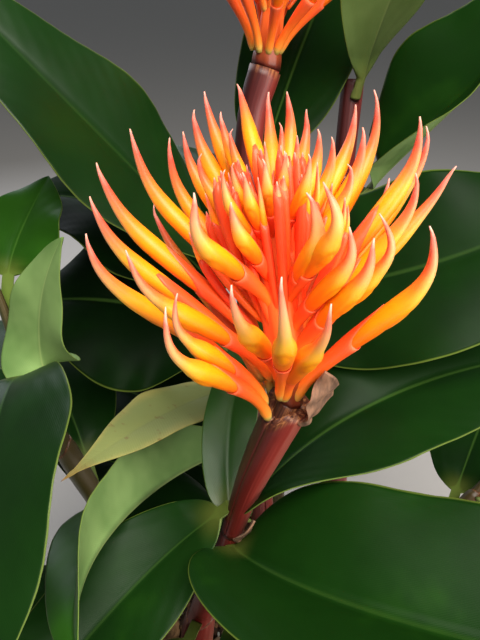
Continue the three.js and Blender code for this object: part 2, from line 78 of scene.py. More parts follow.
def measured(points):
    # a line of close points, with the share of its length at each of them
    steps = np.linalg.norm(np.diff(points, axis=0), axis=1)
    reached = np.concatenate([[0.0], np.cumsum(steps)])
    return {"points": points, "share": reached / reached[-1], "length": reached[-1]}


def bezierLine(controls, count=240):
    # Bezier curve: neighbouring control points are mixed by t again and again, until one point is left
    t = np.linspace(0.0, 1.0, count)[:, None]
    level = [np.asarray(p, float) for p in controls]
    while len(level) > 1:
        level = [a + (b - a) * t for a, b in zip(level, level[1:])]
    return measured(level[0])


def splineLine(path, count=60):
    # cubic pieces through the path: their slopes are weighted by the square roots of the gaps between points
    p = np.asarray(path, float)
    p = np.vstack([2 * p[0] - p[1], p, 2 * p[-1] - p[-2]])
    gap = np.sqrt(np.linalg.norm(np.diff(p, axis=0), axis=1))
    t = np.linspace(0.0, 1.0, count, endpoint=False)[:, None]
    parts = []
    for i in range(1, len(p) - 2):
        a, b, c = gap[i - 1:i + 2]
        first, last = p[i], p[i + 1]
        leave = ((first - p[i - 1]) / a - (last - p[i - 1]) / (a + b) + (last - first) / b) * b
        arrive = ((last - first) / b - (p[i + 2] - first) / (b + c) + (p[i + 2] - last) / c) * b
        bend = -3 * first + 3 * last - 2 * leave - arrive
        parts.append(first + leave * t + bend * t ** 2 + (2 * first - 2 * last + leave + arrive) * t ** 3)
    return measured(np.vstack([*parts, p[-2]]))


def pointAt(line, share):
    # the place at a share of the line's length
    return np.stack([np.interp(share, line["share"], line["points"][:, k]) for k in range(3)], axis=-1)


def directionAt(line, share, step=0.006):
    # from a little before the place to a little past it
    share = np.asarray(share, float)
    return unit(pointAt(line, np.minimum(share + step, 1.0)) - pointAt(line, np.maximum(share - step, 0.0)))


def ripple(points, size, seed, layers=5):
    # soft noise: a sum of sines along random directions, each layer shorter and weaker than the last
    waves, shorter, weaker, softening = 3, 0.6, 0.7, 6.0
    random = np.random.default_rng(seed)
    total = np.zeros(points.shape[:-1])
    for layer in range(layers):
        for _ in range(waves):
            direction = unit(random.normal(size=3)) * 2 * np.pi / (size * shorter ** layer)
            total += weaker ** layer * np.sin(points @ direction + random.uniform(0, 2 * np.pi))
    return total / softening


# Meshes: a shape gathers closed surfaces, each with its marks, and becomes one piece

def newShape():
    return {"points": [], "faces": [], "marks": {}, "count": 0}


def addTube(shape, grid, **marks):
    # rows of points, each a closed loop that runs counter-clockwise round the way from row to row: faces of
    # four sides join the rows, and a fan round its middle point closes the first row and the last. A mark is
    # one number for each point, which the material reads
    rows, columns = grid.shape[:2]
    first = shape["count"]
    marks = {name: np.broadcast_to(values, (rows, columns)) for name, values in marks.items()}
    i, j = np.mgrid[0:rows - 1, 0:columns]
    k = (j + 1) % columns
    above = (i + 1) * columns
    quads = np.stack([i * columns + j, i * columns + k, above + k, above + j], axis=-1)
    here = np.arange(columns)
    after = (here + 1) % columns
    poles = rows * columns
    last = poles - columns
    low = np.stack([np.full(columns, poles), after, here], axis=-1)
    high = np.stack([np.full(columns, poles + 1), last + here, last + after], axis=-1)
    shape["faces"] += (quads.reshape(-1, 4) + first).tolist()
    shape["faces"] += (low + first).tolist() + (high + first).tolist()
    middles = np.stack([grid[0].mean(axis=0), grid[-1].mean(axis=0)])
    shape["points"].append(np.vstack([grid.reshape(-1, 3), middles]))
    shape["count"] += rows * columns + 2
    for name, values in marks.items():
        values = np.concatenate([values.ravel(), [values[0].mean(), values[-1].mean()]])
        shape["marks"].setdefault(name, []).append(values)


def ringGrid(centre, direction, side, radius, angle):
    # circles of the given radius round the centres, square to the direction, with angle 0 towards the side
    side = unit(side - (side * direction).sum(-1, keepdims=True) * direction)
    normal = np.cross(direction, side)
    return centre + radius[..., None] * (np.cos(angle)[..., None] * side + np.sin(angle)[..., None] * normal)


def makePiece(name, shape, material, slot, nodes):
    # one smooth mesh with the shape's marks as attributes, shown in place of the plain nodes
    points = np.vstack(shape["points"]) * millimetre
    mesh = bpy.data.meshes.new(name)
    mesh.from_pydata(points.tolist(), [], shape["faces"])
    for mark, values in shape["marks"].items():
        layer = mesh.attributes.new(mark, "FLOAT", "POINT")
        layer.data.foreach_set("value", np.concatenate(values).astype(np.float32))
    mesh.polygons.foreach_set("use_smooth", np.ones(len(mesh.polygons), bool))
    mesh.materials.append(material)
    mesh.update()
    piece = bpy.data.objects.new(name, mesh)
    bpy.context.scene.collection.objects.link(piece)
    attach(piece, "root")
    if nodes:
        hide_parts(*nodes)
    return piece


# Materials

def display(colour):
    # a colour as it looks on screen, 0 to 255, made linear
    shares = [c / 255 for c in colour]
    return tuple(c / 12.92 if c <= 0.04045 else ((c + 0.055) / 1.055) ** 2.4 for c in shares) + (1.0,)


def feed(tree, socket, value):
    # a socket takes another node's output or a plain number or colour
    if isinstance(value, bpy.types.NodeSocket):
        tree.links.new(value, socket)
    elif value is not None:
        socket.default_value = value


def newMaterial(name, **sockets):
    # constant numbers go on the shader's own sockets
    material = bpy.data.materials.new(name)
    material.use_nodes = True
    shader = material.node_tree.nodes["Principled BSDF"]
    for socket, value in sockets.items():
        shader.inputs[socket.replace("_", " ")].default_value = value
    return material, material.node_tree, shader


def markOf(tree, name):
    # reads one of the piece's own marks
    node = tree.nodes.new("ShaderNodeAttribute")
    node.attribute_name = name
    return node.outputs["Fac"]


def calculate(tree, operation, a, b=None, c=None):
    node = tree.nodes.new("ShaderNodeMath")
    node.operation = operation
    for socket, value in zip(node.inputs, (a, b, c)):
        feed(tree, socket, value)
    return node.outputs[0]


def between(tree, value, low, high, start=0.0, end=1.0):
    # start below low, end above high, and a smooth step from one to the other
    node = tree.nodes.new("ShaderNodeMapRange")
    node.interpolation_type = "SMOOTHSTEP"
    for socket, given in zip(node.inputs, (value, low, high, start, end)):
        feed(tree, socket, given)
    return node.outputs[0]


def blend(tree, factor, a, b):
    # colour a where the factor is 0, colour b where it is 1
    node = tree.nodes.new("ShaderNodeMix")
    node.data_type = "RGBA"
    feed(tree, node.inputs[0], factor)
    feed(tree, node.inputs[6], a)
    feed(tree, node.inputs[7], b)
    return node.outputs[2]


def times(tree, a, b):
    return calculate(tree, "MULTIPLY", a, b)


def ramp(tree, factor, stops):
    # a colour scale: each stop is a place from 0 to 1 and the colour there
    node = tree.nodes.new("ShaderNodeValToRGB")
    elements = node.color_ramp.elements
    elements[0].position, elements[0].color = stops[0][0], display(stops[0][1])
    elements[1].position, elements[1].color = stops[-1][0], display(stops[-1][1])
    for position, colour in stops[1:-1]:
        elements.new(position).color = display(colour)
    feed(tree, node.inputs[0], factor)
    return node.outputs[0]


def objectPlace(tree, scale):
    # the place on the piece in metres, squeezed by the scale
    place = tree.nodes.new("ShaderNodeTexCoord").outputs["Object"]
    mapping = tree.nodes.new("ShaderNodeMapping")
    mapping.inputs["Scale"].default_value = scale
    feed(tree, mapping.inputs["Vector"], place)
    return mapping.outputs[0]


def noise(tree, size, detail=3.0, roughness=0.55, scale=(1.0, 1.0, 1.0)):
    # size is the width of a patch in millimetres, and scale squeezes the patches along X, Y and Z
    node = tree.nodes.new("ShaderNodeTexNoise")
    feed(tree, node.inputs["Vector"], objectPlace(tree, scale))
    node.inputs["Scale"].default_value = 1.0 / (size * millimetre)
    node.inputs["Detail"].default_value = detail
    node.inputs["Roughness"].default_value = roughness
    return node.outputs["Fac"]


def bump(tree, height, depth, strength=1.0, below=None):
    # depth is the relief in millimetres that a height of 1 stands for
    node = tree.nodes.new("ShaderNodeBump")
    node.inputs["Strength"].default_value = strength
    node.inputs["Distance"].default_value = depth * millimetre
    feed(tree, node.inputs["Height"], height)
    feed(tree, node.inputs["Normal"], below)
    return node.outputs[0]


# Leaf finish: deep green that clouds from patch to patch, with faint slanting veins, a fine yellow-green
# margin, a pale matte underside and a yellow foot where the blade leaves its petiole. A leaf's own marks set
# how light it is, how olive, how much its midrib shows and how much it shines; the low tone of the deep
# leaves is painted shade
leafFinish = {
    "top": [(0.0, (7, 22, 6)), (0.4, (16, 46, 9)), (0.7, (40, 84, 16)), (1.0, (92, 134, 26))],
    "usualShade": 0.36,
    "cloudSize": 34,
    "cloudStrength": 0.5,
    "veinShade": 0.006,
    "midrib": (92, 132, 56),
    "midribSpread": (0.004, 0.035),  # shares of the half width where it starts to fade and is gone
    "margin": (108, 126, 52),
    "marginSpread": (0.986, 1.003),
    "marginUneven": 0.016,
    "marginStrength": 0.6,
    "olive": (56, 62, 22),
    "foot": (122, 128, 58),
    "under": (120, 148, 88),
    "underDark": (84, 114, 60),
    "underRib": (150, 166, 104),
    "underRibStrength": 0.5,
    "gloss": 0.3,
    "glossUneven": 0.16,
    "glossPatch": 12,
    "matte": 0.62,
    "veinDepth": 0.01,
    "grainSize": 1.4,
    "grainDepth": 0.03,
}


def leafMaterial():
    finish = leafFinish
    material, tree, shader = newMaterial("leaf")
    feed(tree, shader.inputs["Specular IOR Level"], markOf(tree, "sheen"))
    across = calculate(tree, "ABSOLUTE", markOf(tree, "across"))
    under = between(tree, markOf(tree, "under"), 0.35, 0.65)
    vein = calculate(tree, "SINE", times(tree, markOf(tree, "vein"), 2 * math.pi))
    cloud = noise(tree, finish["cloudSize"])
    # the cloud's middle value leaves the usual shade as it is
    darkest = finish["usualShade"] - finish["cloudStrength"] / 2
    shade = calculate(tree, "MULTIPLY_ADD", cloud, finish["cloudStrength"], darkest)
    # a leaf's tone moves its green lighter or darker; on the deep leaves it is painted shade
    shade = calculate(tree, "ADD", shade, markOf(tree, "tone"))
    shade = calculate(tree, "ADD", shade, times(tree, vein, finish["veinShade"]))
    top = ramp(tree, shade, finish["top"])
    rib = between(tree, across, *finish["midribSpread"], 1.0, 0.0)
    top = blend(tree, times(tree, rib, markOf(tree, "rib")), top, display(finish["midrib"]))
    low = blend(tree, between(tree, cloud, 0.3, 0.7), display(finish["underDark"]), display(finish["under"]))
    low = blend(tree, times(tree, rib, finish["underRibStrength"]), low, display(finish["underRib"]))
    wavering = calculate(tree, "MULTIPLY_ADD", cloud, finish["marginUneven"], across)
    edge = times(tree, between(tree, wavering, *finish["marginSpread"]), finish["marginStrength"])
    colour = blend(tree, under, top, low)
    colour = blend(tree, markOf(tree, "olive"), colour, display(finish["olive"]))
    colour = blend(tree, edge, colour, display(finish["margin"]))
    colour = blend(tree, markOf(tree, "foot"), colour, display(finish["foot"]))
    feed(tree, shader.inputs["Base Color"], colour)
    uneven = noise(tree, finish["glossPatch"])
    rough = calculate(tree, "MULTIPLY_ADD", uneven, finish["glossUneven"], finish["gloss"])
    feed(tree, shader.inputs["Roughness"], between(tree, under, 0.0, 1.0, rough, finish["matte"]))
    grain = bump(tree, noise(tree, finish["grainSize"], 2.0), finish["grainDepth"], 0.4)
    feed(tree, shader.inputs["Normal"], bump(tree, vein, finish["veinDepth"], 0.5, grain))
    return material


# An old leaf fades to a pale yellow-green, yellower towards its margin, and brown at its tip and in spots
oldLeafFinish = {
    "green": (124, 134, 78),
    "yellow": (158, 150, 84),
    "brown": (142, 100, 46),
    "spot": (112, 84, 44),
    "spotSize": 5,
    "spotStrength": 0.5,
    "cloudSize": 16,
    "cloudDepth": 0.5,
    "veinDepth": 0.06,
}


def oldLeafMaterial():
    finish = oldLeafFinish
    material, tree, shader = newMaterial("oldLeaf", Roughness=0.55, Specular_IOR_Level=0.35)
    across = calculate(tree, "ABSOLUTE", markOf(tree, "across"))
    cloud = noise(tree, finish["cloudSize"])
    vein = calculate(tree, "SINE", times(tree, markOf(tree, "vein"), 2 * math.pi))
    pale = calculate(tree, "MULTIPLY_ADD", cloud, 0.6, across)
    colour = blend(tree, between(tree, pale, 0.95, 1.5), display(finish["green"]), display(finish["yellow"]))
    dry = calculate(tree, "MULTIPLY_ADD", cloud, 0.22, markOf(tree, "along"))
    colour = blend(tree, between(tree, dry, 0.98, 1.12), colour, display(finish["brown"]))
    spots = between(tree, noise(tree, finish["spotSize"], 2.0), 0.62, 0.72)
    colour = blend(tree, times(tree, spots, finish["spotStrength"]), colour, display(finish["spot"]))
    feed(tree, shader.inputs["Base Color"], colour)
    swell = bump(tree, cloud, finish["cloudDepth"], 0.4)
    feed(tree, shader.inputs["Normal"], bump(tree, vein, finish["veinDepth"], 0.5, swell))
    return material


# Stalk finish: maroon sheaths with fine lengthwise streaks, painted shade on the side away from positive X
# and a painted pink-brown highlight on the side towards it, olive at the foot, and brown paper where a sheath
# is torn. Shoots that only bear leaves are mostly olive green
stalkFinish = {
    "round": [
        (0.0, (52, 9, 8)), (0.35, (88, 18, 15)), (0.58, (124, 40, 34)), (0.78, (144, 74, 64)),
        (1.0, (152, 92, 80)),
    ],
    "foot": (104, 92, 54),
    "footSpread": (0.0, 0.25, 0.7, 0.0),  # strength 0.7 at the bottom, none from a quarter of the length
    "leafy": (52, 62, 26),
    "paper": [(0.3, (46, 18, 12)), (0.5, (96, 50, 28)), (0.68, (168, 112, 66))],
    "streakPlace": {"roundX": 5.0, "roundY": 5.0, "along": 2.5},
    "streakScale": 1.4,
    "streakStrength": 0.42,
    # the strength of the painted highlight round the stalk, and the painted shade it starts from
    "paintedSunStrength": 0.38,
    "shade": 0.27,
    "streakDepth": 0.2,
}


def stalkMaterial():
    finish = stalkFinish
    material, tree, shader = newMaterial(
        "stalk", Specular_IOR_Level=0.42, Coat_Weight=0.15, Coat_Roughness=0.35,
    )
    # streaks: noise that is read at the way round the stalk and the share along it, which stretches it
    place = tree.nodes.new("ShaderNodeCombineXYZ")
    for socket, (mark, count) in zip(place.inputs, finish["streakPlace"].items()):
        feed(tree, socket, times(tree, markOf(tree, mark), count))
    streaks = tree.nodes.new("ShaderNodeTexNoise")
    feed(tree, streaks.inputs["Vector"], place.outputs[0])
    streaks.inputs["Scale"].default_value = finish["streakScale"]
    streaks.inputs["Detail"].default_value = 4.0
    streak = streaks.outputs["Fac"]
    # painted light: paler pink-brown towards positive X, and painted shade away from it
    paintedSunSide = calculate(tree, "MULTIPLY_ADD", markOf(tree, "roundX"), finish["paintedSunStrength"], finish["shade"])
    paintedSunSide = calculate(tree, "MULTIPLY_ADD", streak, finish["streakStrength"], paintedSunSide)
    colour = ramp(tree, paintedSunSide, finish["round"])
    foot = between(tree, markOf(tree, "along"), *finish["footSpread"])
    colour = blend(tree, foot, colour, display(finish["foot"]))
    colour = blend(tree, markOf(tree, "leafy"), colour, display(finish["leafy"]))
    colour = blend(tree, markOf(tree, "edge"), colour, ramp(tree, streak, finish["paper"]))
    feed(tree, shader.inputs["Base Color"], colour)
    feed(tree, shader.inputs["Roughness"], between(tree, streak, 0.3, 0.8, 0.42, 0.56))
    feed(tree, shader.inputs["Normal"], bump(tree, streak, finish["streakDepth"], 0.35))
    return material


# Dry scale finish: brown paper, streaked lengthways
dryFinish = {
    "dark": (66, 38, 26),
    "brown": (132, 92, 68),
    "pale": (190, 154, 124),
    "streakSize": 2.4,
    "streakScale": (1.0, 1.0, 0.25),
    "streakDepth": 0.4,
}


def dryMaterial():
    finish = dryFinish
    material, tree, shader = newMaterial("dryScale", Roughness=0.8)
    streak = noise(tree, finish["streakSize"], 4.0, 0.6, finish["streakScale"])
    colour = blend(tree, between(tree, streak, 0.35, 0.65), display(finish["dark"]), display(finish["brown"]))
    colour = blend(tree, markOf(tree, "tone"), colour, display(finish["pale"]))
    feed(tree, shader.inputs["Base Color"], colour)
    feed(tree, shader.inputs["Normal"], bump(tree, streak, finish["streakDepth"], 0.7))
    return material


# Bud finish: an orange calyx from a yellow-green foot to a pinker mouth, redder on the young ones, then
# petals that run from orange at the mouth through golden yellow to a salmon claw, with a cream point. The
# body is yellower on its upper side, partly as a painted highlight, and more orange on its outer side, partly
# as painted shade, and the outer side of the horn is paler cream, partly as painted light. Along runs from
# foot to mouth on a calyx and from mouth to point on petals. Kind is 0 on a calyx, 1 on petals and 2 on the
# brush's core
budFinish = {
    "calyx": [
        (0.0, (196, 178, 96)), (0.06, (214, 166, 76)), (0.13, (244, 142, 48)), (0.3, (250, 122, 34)),
        (0.62, (250, 102, 34)), (0.88, (248, 92, 40)), (1.0, (246, 106, 66)),
    ],
    "upper": [
        (0.0, (250, 104, 16)), (0.16, (252, 130, 8)), (0.32, (252, 158, 8)), (0.48, (252, 162, 14)),
        (0.6, (248, 142, 32)), (0.72, (240, 114, 56)), (0.86, (230, 92, 70)), (1.0, (240, 160, 144)),
    ],
    "outer": [
        (0.0, (248, 92, 18)), (0.18, (250, 110, 10)), (0.36, (250, 130, 8)), (0.5, (252, 160, 14)),
        (0.6, (254, 186, 60)), (0.7, (248, 182, 100)), (0.82, (240, 158, 110)), (0.93, (232, 114, 92)),
        (1.0, (244, 190, 170)),
    ],
    "red": (242, 68, 38),
    "redStrength": 0.65,
    "seam": (226, 120, 20),
    "seamStrength": 0.75,
    "cloudSize": 6,
    "grainSize": 1.1,
    "grainDepth": 0.05,
    "core": [(0.0, (78, 26, 22)), (0.1, (150, 66, 32)), (0.34, (240, 112, 46)), (1.0, (252, 104, 48))],
}


def budMaterial():
    finish = budFinish
    material, tree, shader = newMaterial(
        "buds", Roughness=0.4, Subsurface_Weight=0.18, Subsurface_Scale=2.0 * millimetre,
        Subsurface_Radius=(1.0, 0.45, 0.15), Specular_IOR_Level=0.4,
    )
    kind = markOf(tree, "kind")
    cloud = noise(tree, finish["cloudSize"])
    # the cloud moves the colours a little along the bud and round it
    shift = calculate(tree, "MULTIPLY_ADD", cloud, 0.1, -0.05)
    shifted = calculate(tree, "ADD", markOf(tree, "along"), shift)
    # facing mixes the outer and upper colours, partly as painted highlight and painted shade
    facing = calculate(tree, "ADD", markOf(tree, "upper"), times(tree, cloud, 0.6))
    outer, upper = ramp(tree, shifted, finish["outer"]), ramp(tree, shifted, finish["upper"])
    body = blend(tree, between(tree, facing, -0.45, 0.9), outer, upper)
    seam = times(tree, markOf(tree, "seam"), finish["seamStrength"])
    body = blend(tree, seam, body, display(finish["seam"]))
    calyx = ramp(tree, shifted, finish["calyx"])
    red = between(tree, markOf(tree, "tone"), 0.2, 0.9, 0.0, finish["redStrength"])
    red = times(tree, red, between(tree, shifted, 0.1, 0.2))
    calyx = blend(tree, red, calyx, display(finish["red"]))
    colour = blend(tree, between(tree, kind, 0.4, 0.6), calyx, body)
    colour = blend(tree, between(tree, kind, 1.4, 1.6), colour, ramp(tree, shifted, finish["core"]))
    feed(tree, shader.inputs["Base Color"], colour)
    grain = noise(tree, finish["grainSize"], 2.0)
    feed(tree, shader.inputs["Normal"], bump(tree, grain, finish["grainDepth"], 0.5))
    return material


# Stalks

# A sheath starts and ends at shares of the stalk's length. It wraps so many radians to each side of its turn,
# which is in degrees, and its slit lies opposite. Wall, notch, ragged and flare are millimetres: how thick it
# is, how far its torn end drops at the slit, how uneven that end is and how far it spreads. Sharp is the
# power that narrows the notch
ringSheath = {"wrap": 3.0, "wall": 0.45, "notch": 6.0, "sharp": 2, "ragged": 0.35, "flare": 0.05}
cupSheath = {
    "start": 0.66, "end": 1.0, "turn": 44, "wrap": 3.135, "wall": 0.5, "notch": 9.0, "sharp": 5,
    "ragged": 1.1, "flare": 0.35,
}
wholeSheath = {**cupSheath, "turn": 190, "wall": 0.25, "notch": 1.2, "ragged": 0.3, "flare": 0.7}
sheathForm = {
    "rows": 28,
    "columns": 46,
    "reach": 0.16,  # share of the stalk's length that a ring sheath covers
    "past": 0.014,  # share by which it ends past the step in the stalk
    "firstTurn": 40,
    "nextTurn": 150,
    "shootTurn": 70,
    "inset": 0.12,
    "footWall": 0.14,
    "thinLip": 0.25,
    "dentSize": 11,
    "dentDepth": 0.1,
}
# Sheaths are the shares where a ring sheath ends and the stalk steps in, and head is the sheath under a
# brush, which may be a torn cup. Shade darkens a stalk's colour as painted shade
stalks = {
    "main": {
        "path": [
            [-38, -14, 158], [-37, -17, 190], [-30, -30, 240], [-21, -38, 280], [-12, -42, 318],
            [0, -45, 355],
        ],
        "foot": 8.5, "top": 7.2, "waist": 4.9, "sheaths": [0.3, 0.5, 0.62], "head": cupSheath, "cup": True,
    },
    "second": {
        "path": [
            [-5, 35, 158], [-5, 37, 190], [-8, 48, 270], [-13, 66, 360], [-11, 79, 415], [-5, 83, 436],
        ],
        "foot": 8.5, "top": 7, "waist": 5.4, "sheaths": [0.3, 0.5, 0.72], "head": wholeSheath, "shade": 0.6,
    },
    "third": {
        "path": [[36, 40, 158], [36, 42, 190], [34, 64, 290], [33, 88, 380], [36, 101, 428]],
        "foot": 8, "top": 6, "waist": 5.2, "sheaths": [0.35, 0.6, 0.85], "shade": 0.6,
    },
    "left": {
        "path": [[-62, 14, 158], [-64, 14, 180], [-80, 12, 240], [-101, 12, 305], [-116, 20, 372]],
        "foot": 7.5, "top": 2.2, "waist": 4.8, "sheaths": [0.35, 0.6, 0.85], "leafy": 0.85,
    },
    "right": {
        "path": [[54, 2, 158], [58, 3, 178], [80, 10, 225], [108, 20, 268]],
        "foot": 7, "top": 2.2, "waist": 4.6, "sheaths": [0.35, 0.6, 0.85], "leafy": 0.6,
    },
    "back": {
        "path": [[4, 72, 158], [4, 74, 180], [5, 96, 270], [8, 122, 356]],
        "foot": 7.5, "top": 2.2, "waist": 4.8, "sheaths": [0.35, 0.6, 0.85], "leafy": 0.85,
    },
}
stalkForm = {
    "sides": 32,
    "rows": 110,
    "narrowed": 0.45,  # share of the length where a stalk has its waist
    "widens": 0.68,  # share of the length where it widens again
    "step": 0.35,
    "stepRun": 0.007,
    "skin": 0.14,  # how far the stalk's skin lies inside a sheath's foot
    "ribs": [(9, 2.0, 0.1), (17, 0.0, 0.06)],  # ribs round the stalk, their turn along it, and their height
    "pegStart": 0.92,
    "pegShrink": 0.38,
}
for stalk in stalks.values():
    stalk["line"] = splineLine(stalk["path"])


def stalkRadius(stalk, share):
    # wide at the foot, narrow at the waist, wide again at the top, and a step narrower past each ring sheath
    form = stalkForm
    taper = stalk["foot"] + (stalk["waist"] - stalk["foot"]) * ease(share / form["narrowed"])
    flare = (stalk["top"] - stalk["waist"]) * ease((share - form["widens"]) / (1 - form["widens"]))
    passed = sum(ease((share - s + 0.006) / form["stepRun"]) for s in stalk["sheaths"])
    return taper + flare + form["step"] * (1 - passed)


def addRound(shape, stalk, grid, angle, along, edge):
    # the marks of a stalk or a sheath: roundX puts painted light on the side towards positive X, and a
    # stalk's shade number lowers it as painted shade
    addTube(
        shape, grid, along=along, edge=edge, roundX=np.cos(angle) - stalk.get("shade", 0.0),
        roundY=np.sin(angle), leafy=stalk.get("leafy", 0.0),
    )


def stalkShape(stalk):
    # circles along the stalk's line with low ribs; in a cup, the brown end of the stalk is a thin peg
    form = stalkForm
    share = np.linspace(0.0, 1.0, form["rows"])
    angle = np.linspace(0.0, 2 * np.pi, form["sides"], endpoint=False)[None, :]
    direction = directionAt(stalk["line"], share)
    direction[0] = up
    radius = stalkRadius(stalk, share)[:, None]
    ribs = sum(high * np.cos(count * angle + turn * share[:, None]) for count, turn, high in form["ribs"])
    centre = pointAt(stalk["line"], share)[:, None]
    size = radius - form["skin"] + ribs
    grid = ringGrid(centre, direction[:, None], sideways, size, angle + 0 * radius)
    torn = 0.0
    if stalk.get("cup"):
        peg = ease((share - form["pegStart"]) / 0.06)[:, None]
        grid = centre + (grid - centre) * (1 - form["pegShrink"] * peg)[..., None]
        torn = 0.9 * peg
    shape = newShape()
    addRound(shape, stalk, grid, angle, share[:, None], torn)
    return shape


def addSheath(shape, stalk, sheath, seed):
    # a thin wall round the stalk between two shares of its length, with a slit at one side: each row is an
    # outside arc and an inside arc back. The inside lies at the stalk's skin, the wall thickens upwards, and
    # the torn top is lowest at the slit
    form = sheathForm
    columns = form["columns"]
    spread = np.linspace(-sheath["wrap"], sheath["wrap"], columns)
    ragged = 0.5 * np.sin(3 * spread + seed) + 0.3 * np.sin(7 * spread + 2 * seed) + 0.2 * np.sin(19 * spread)
    cut = sheath["ragged"] * ragged - sheath["notch"] * ((1 - np.cos(spread)) / 2) ** sheath["sharp"]
    run = np.linspace(0.0, 1.0, form["rows"])[:, None]
    line = stalk["line"]
    length = line["length"]
    share = sheath["start"] + (sheath["end"] - sheath["start"] + cut[None, :] / length) * run
    loop = np.minimum(np.concatenate([share, share[:, ::-1]], axis=1), 1.0)
    angle = np.concatenate([spread, spread[::-1]])[None, :] + math.radians(sheath["turn"])
    outside = np.concatenate([np.ones(columns), np.zeros(columns)])[None, :]
    thick = form["footWall"] + sheath["wall"] * ease(run / 0.7) - form["thinLip"] * ease((run - 0.9) / 0.1)
    out = stalkRadius(stalk, loop) + outside * thick - form["inset"]
    out = out + sheath["flare"] * ease((run - 0.75) / 0.25) ** 2
    # the ripple is read on a cylinder, so that it meets itself round the stalk
    place = np.stack([loop * length, 8 * np.cos(angle) + 0 * loop, 8 * np.sin(angle) + 0 * loop], axis=-1)
    out = out + form["dentDepth"] * ripple(place, form["dentSize"], seed + 3) * ease(run / 0.5)
    grid = ringGrid(pointAt(line, loop), directionAt(line, loop), sideways, out, angle + 0 * out)
    torn = 0.8 * ease((run - 0.955) / 0.04)
    inside = 0.95 * (1 - outside) * ease((run - 0.5) / 0.3)
    addRound(shape, stalk, grid, angle, loop, np.maximum(torn, inside))


def addSheaths(shape, stalk, seed):
    # a ring sheath ends at each of the stalk's steps, and the head sheath at its end
    form = sheathForm
    for number, end in enumerate(stalk["sheaths"]):
        start = max(end - form["reach"], 0.02)
        turn = form["firstTurn"] + form["nextTurn"] * number + form["shootTurn"] * seed
        ring = {**ringSheath, "start": start, "end": end + form["past"], "turn": turn}
        addSheath(shape, stalk, ring, seed + number)
    if "head" in stalk:
        addSheath(shape, stalk, stalk["head"], seed + 9)
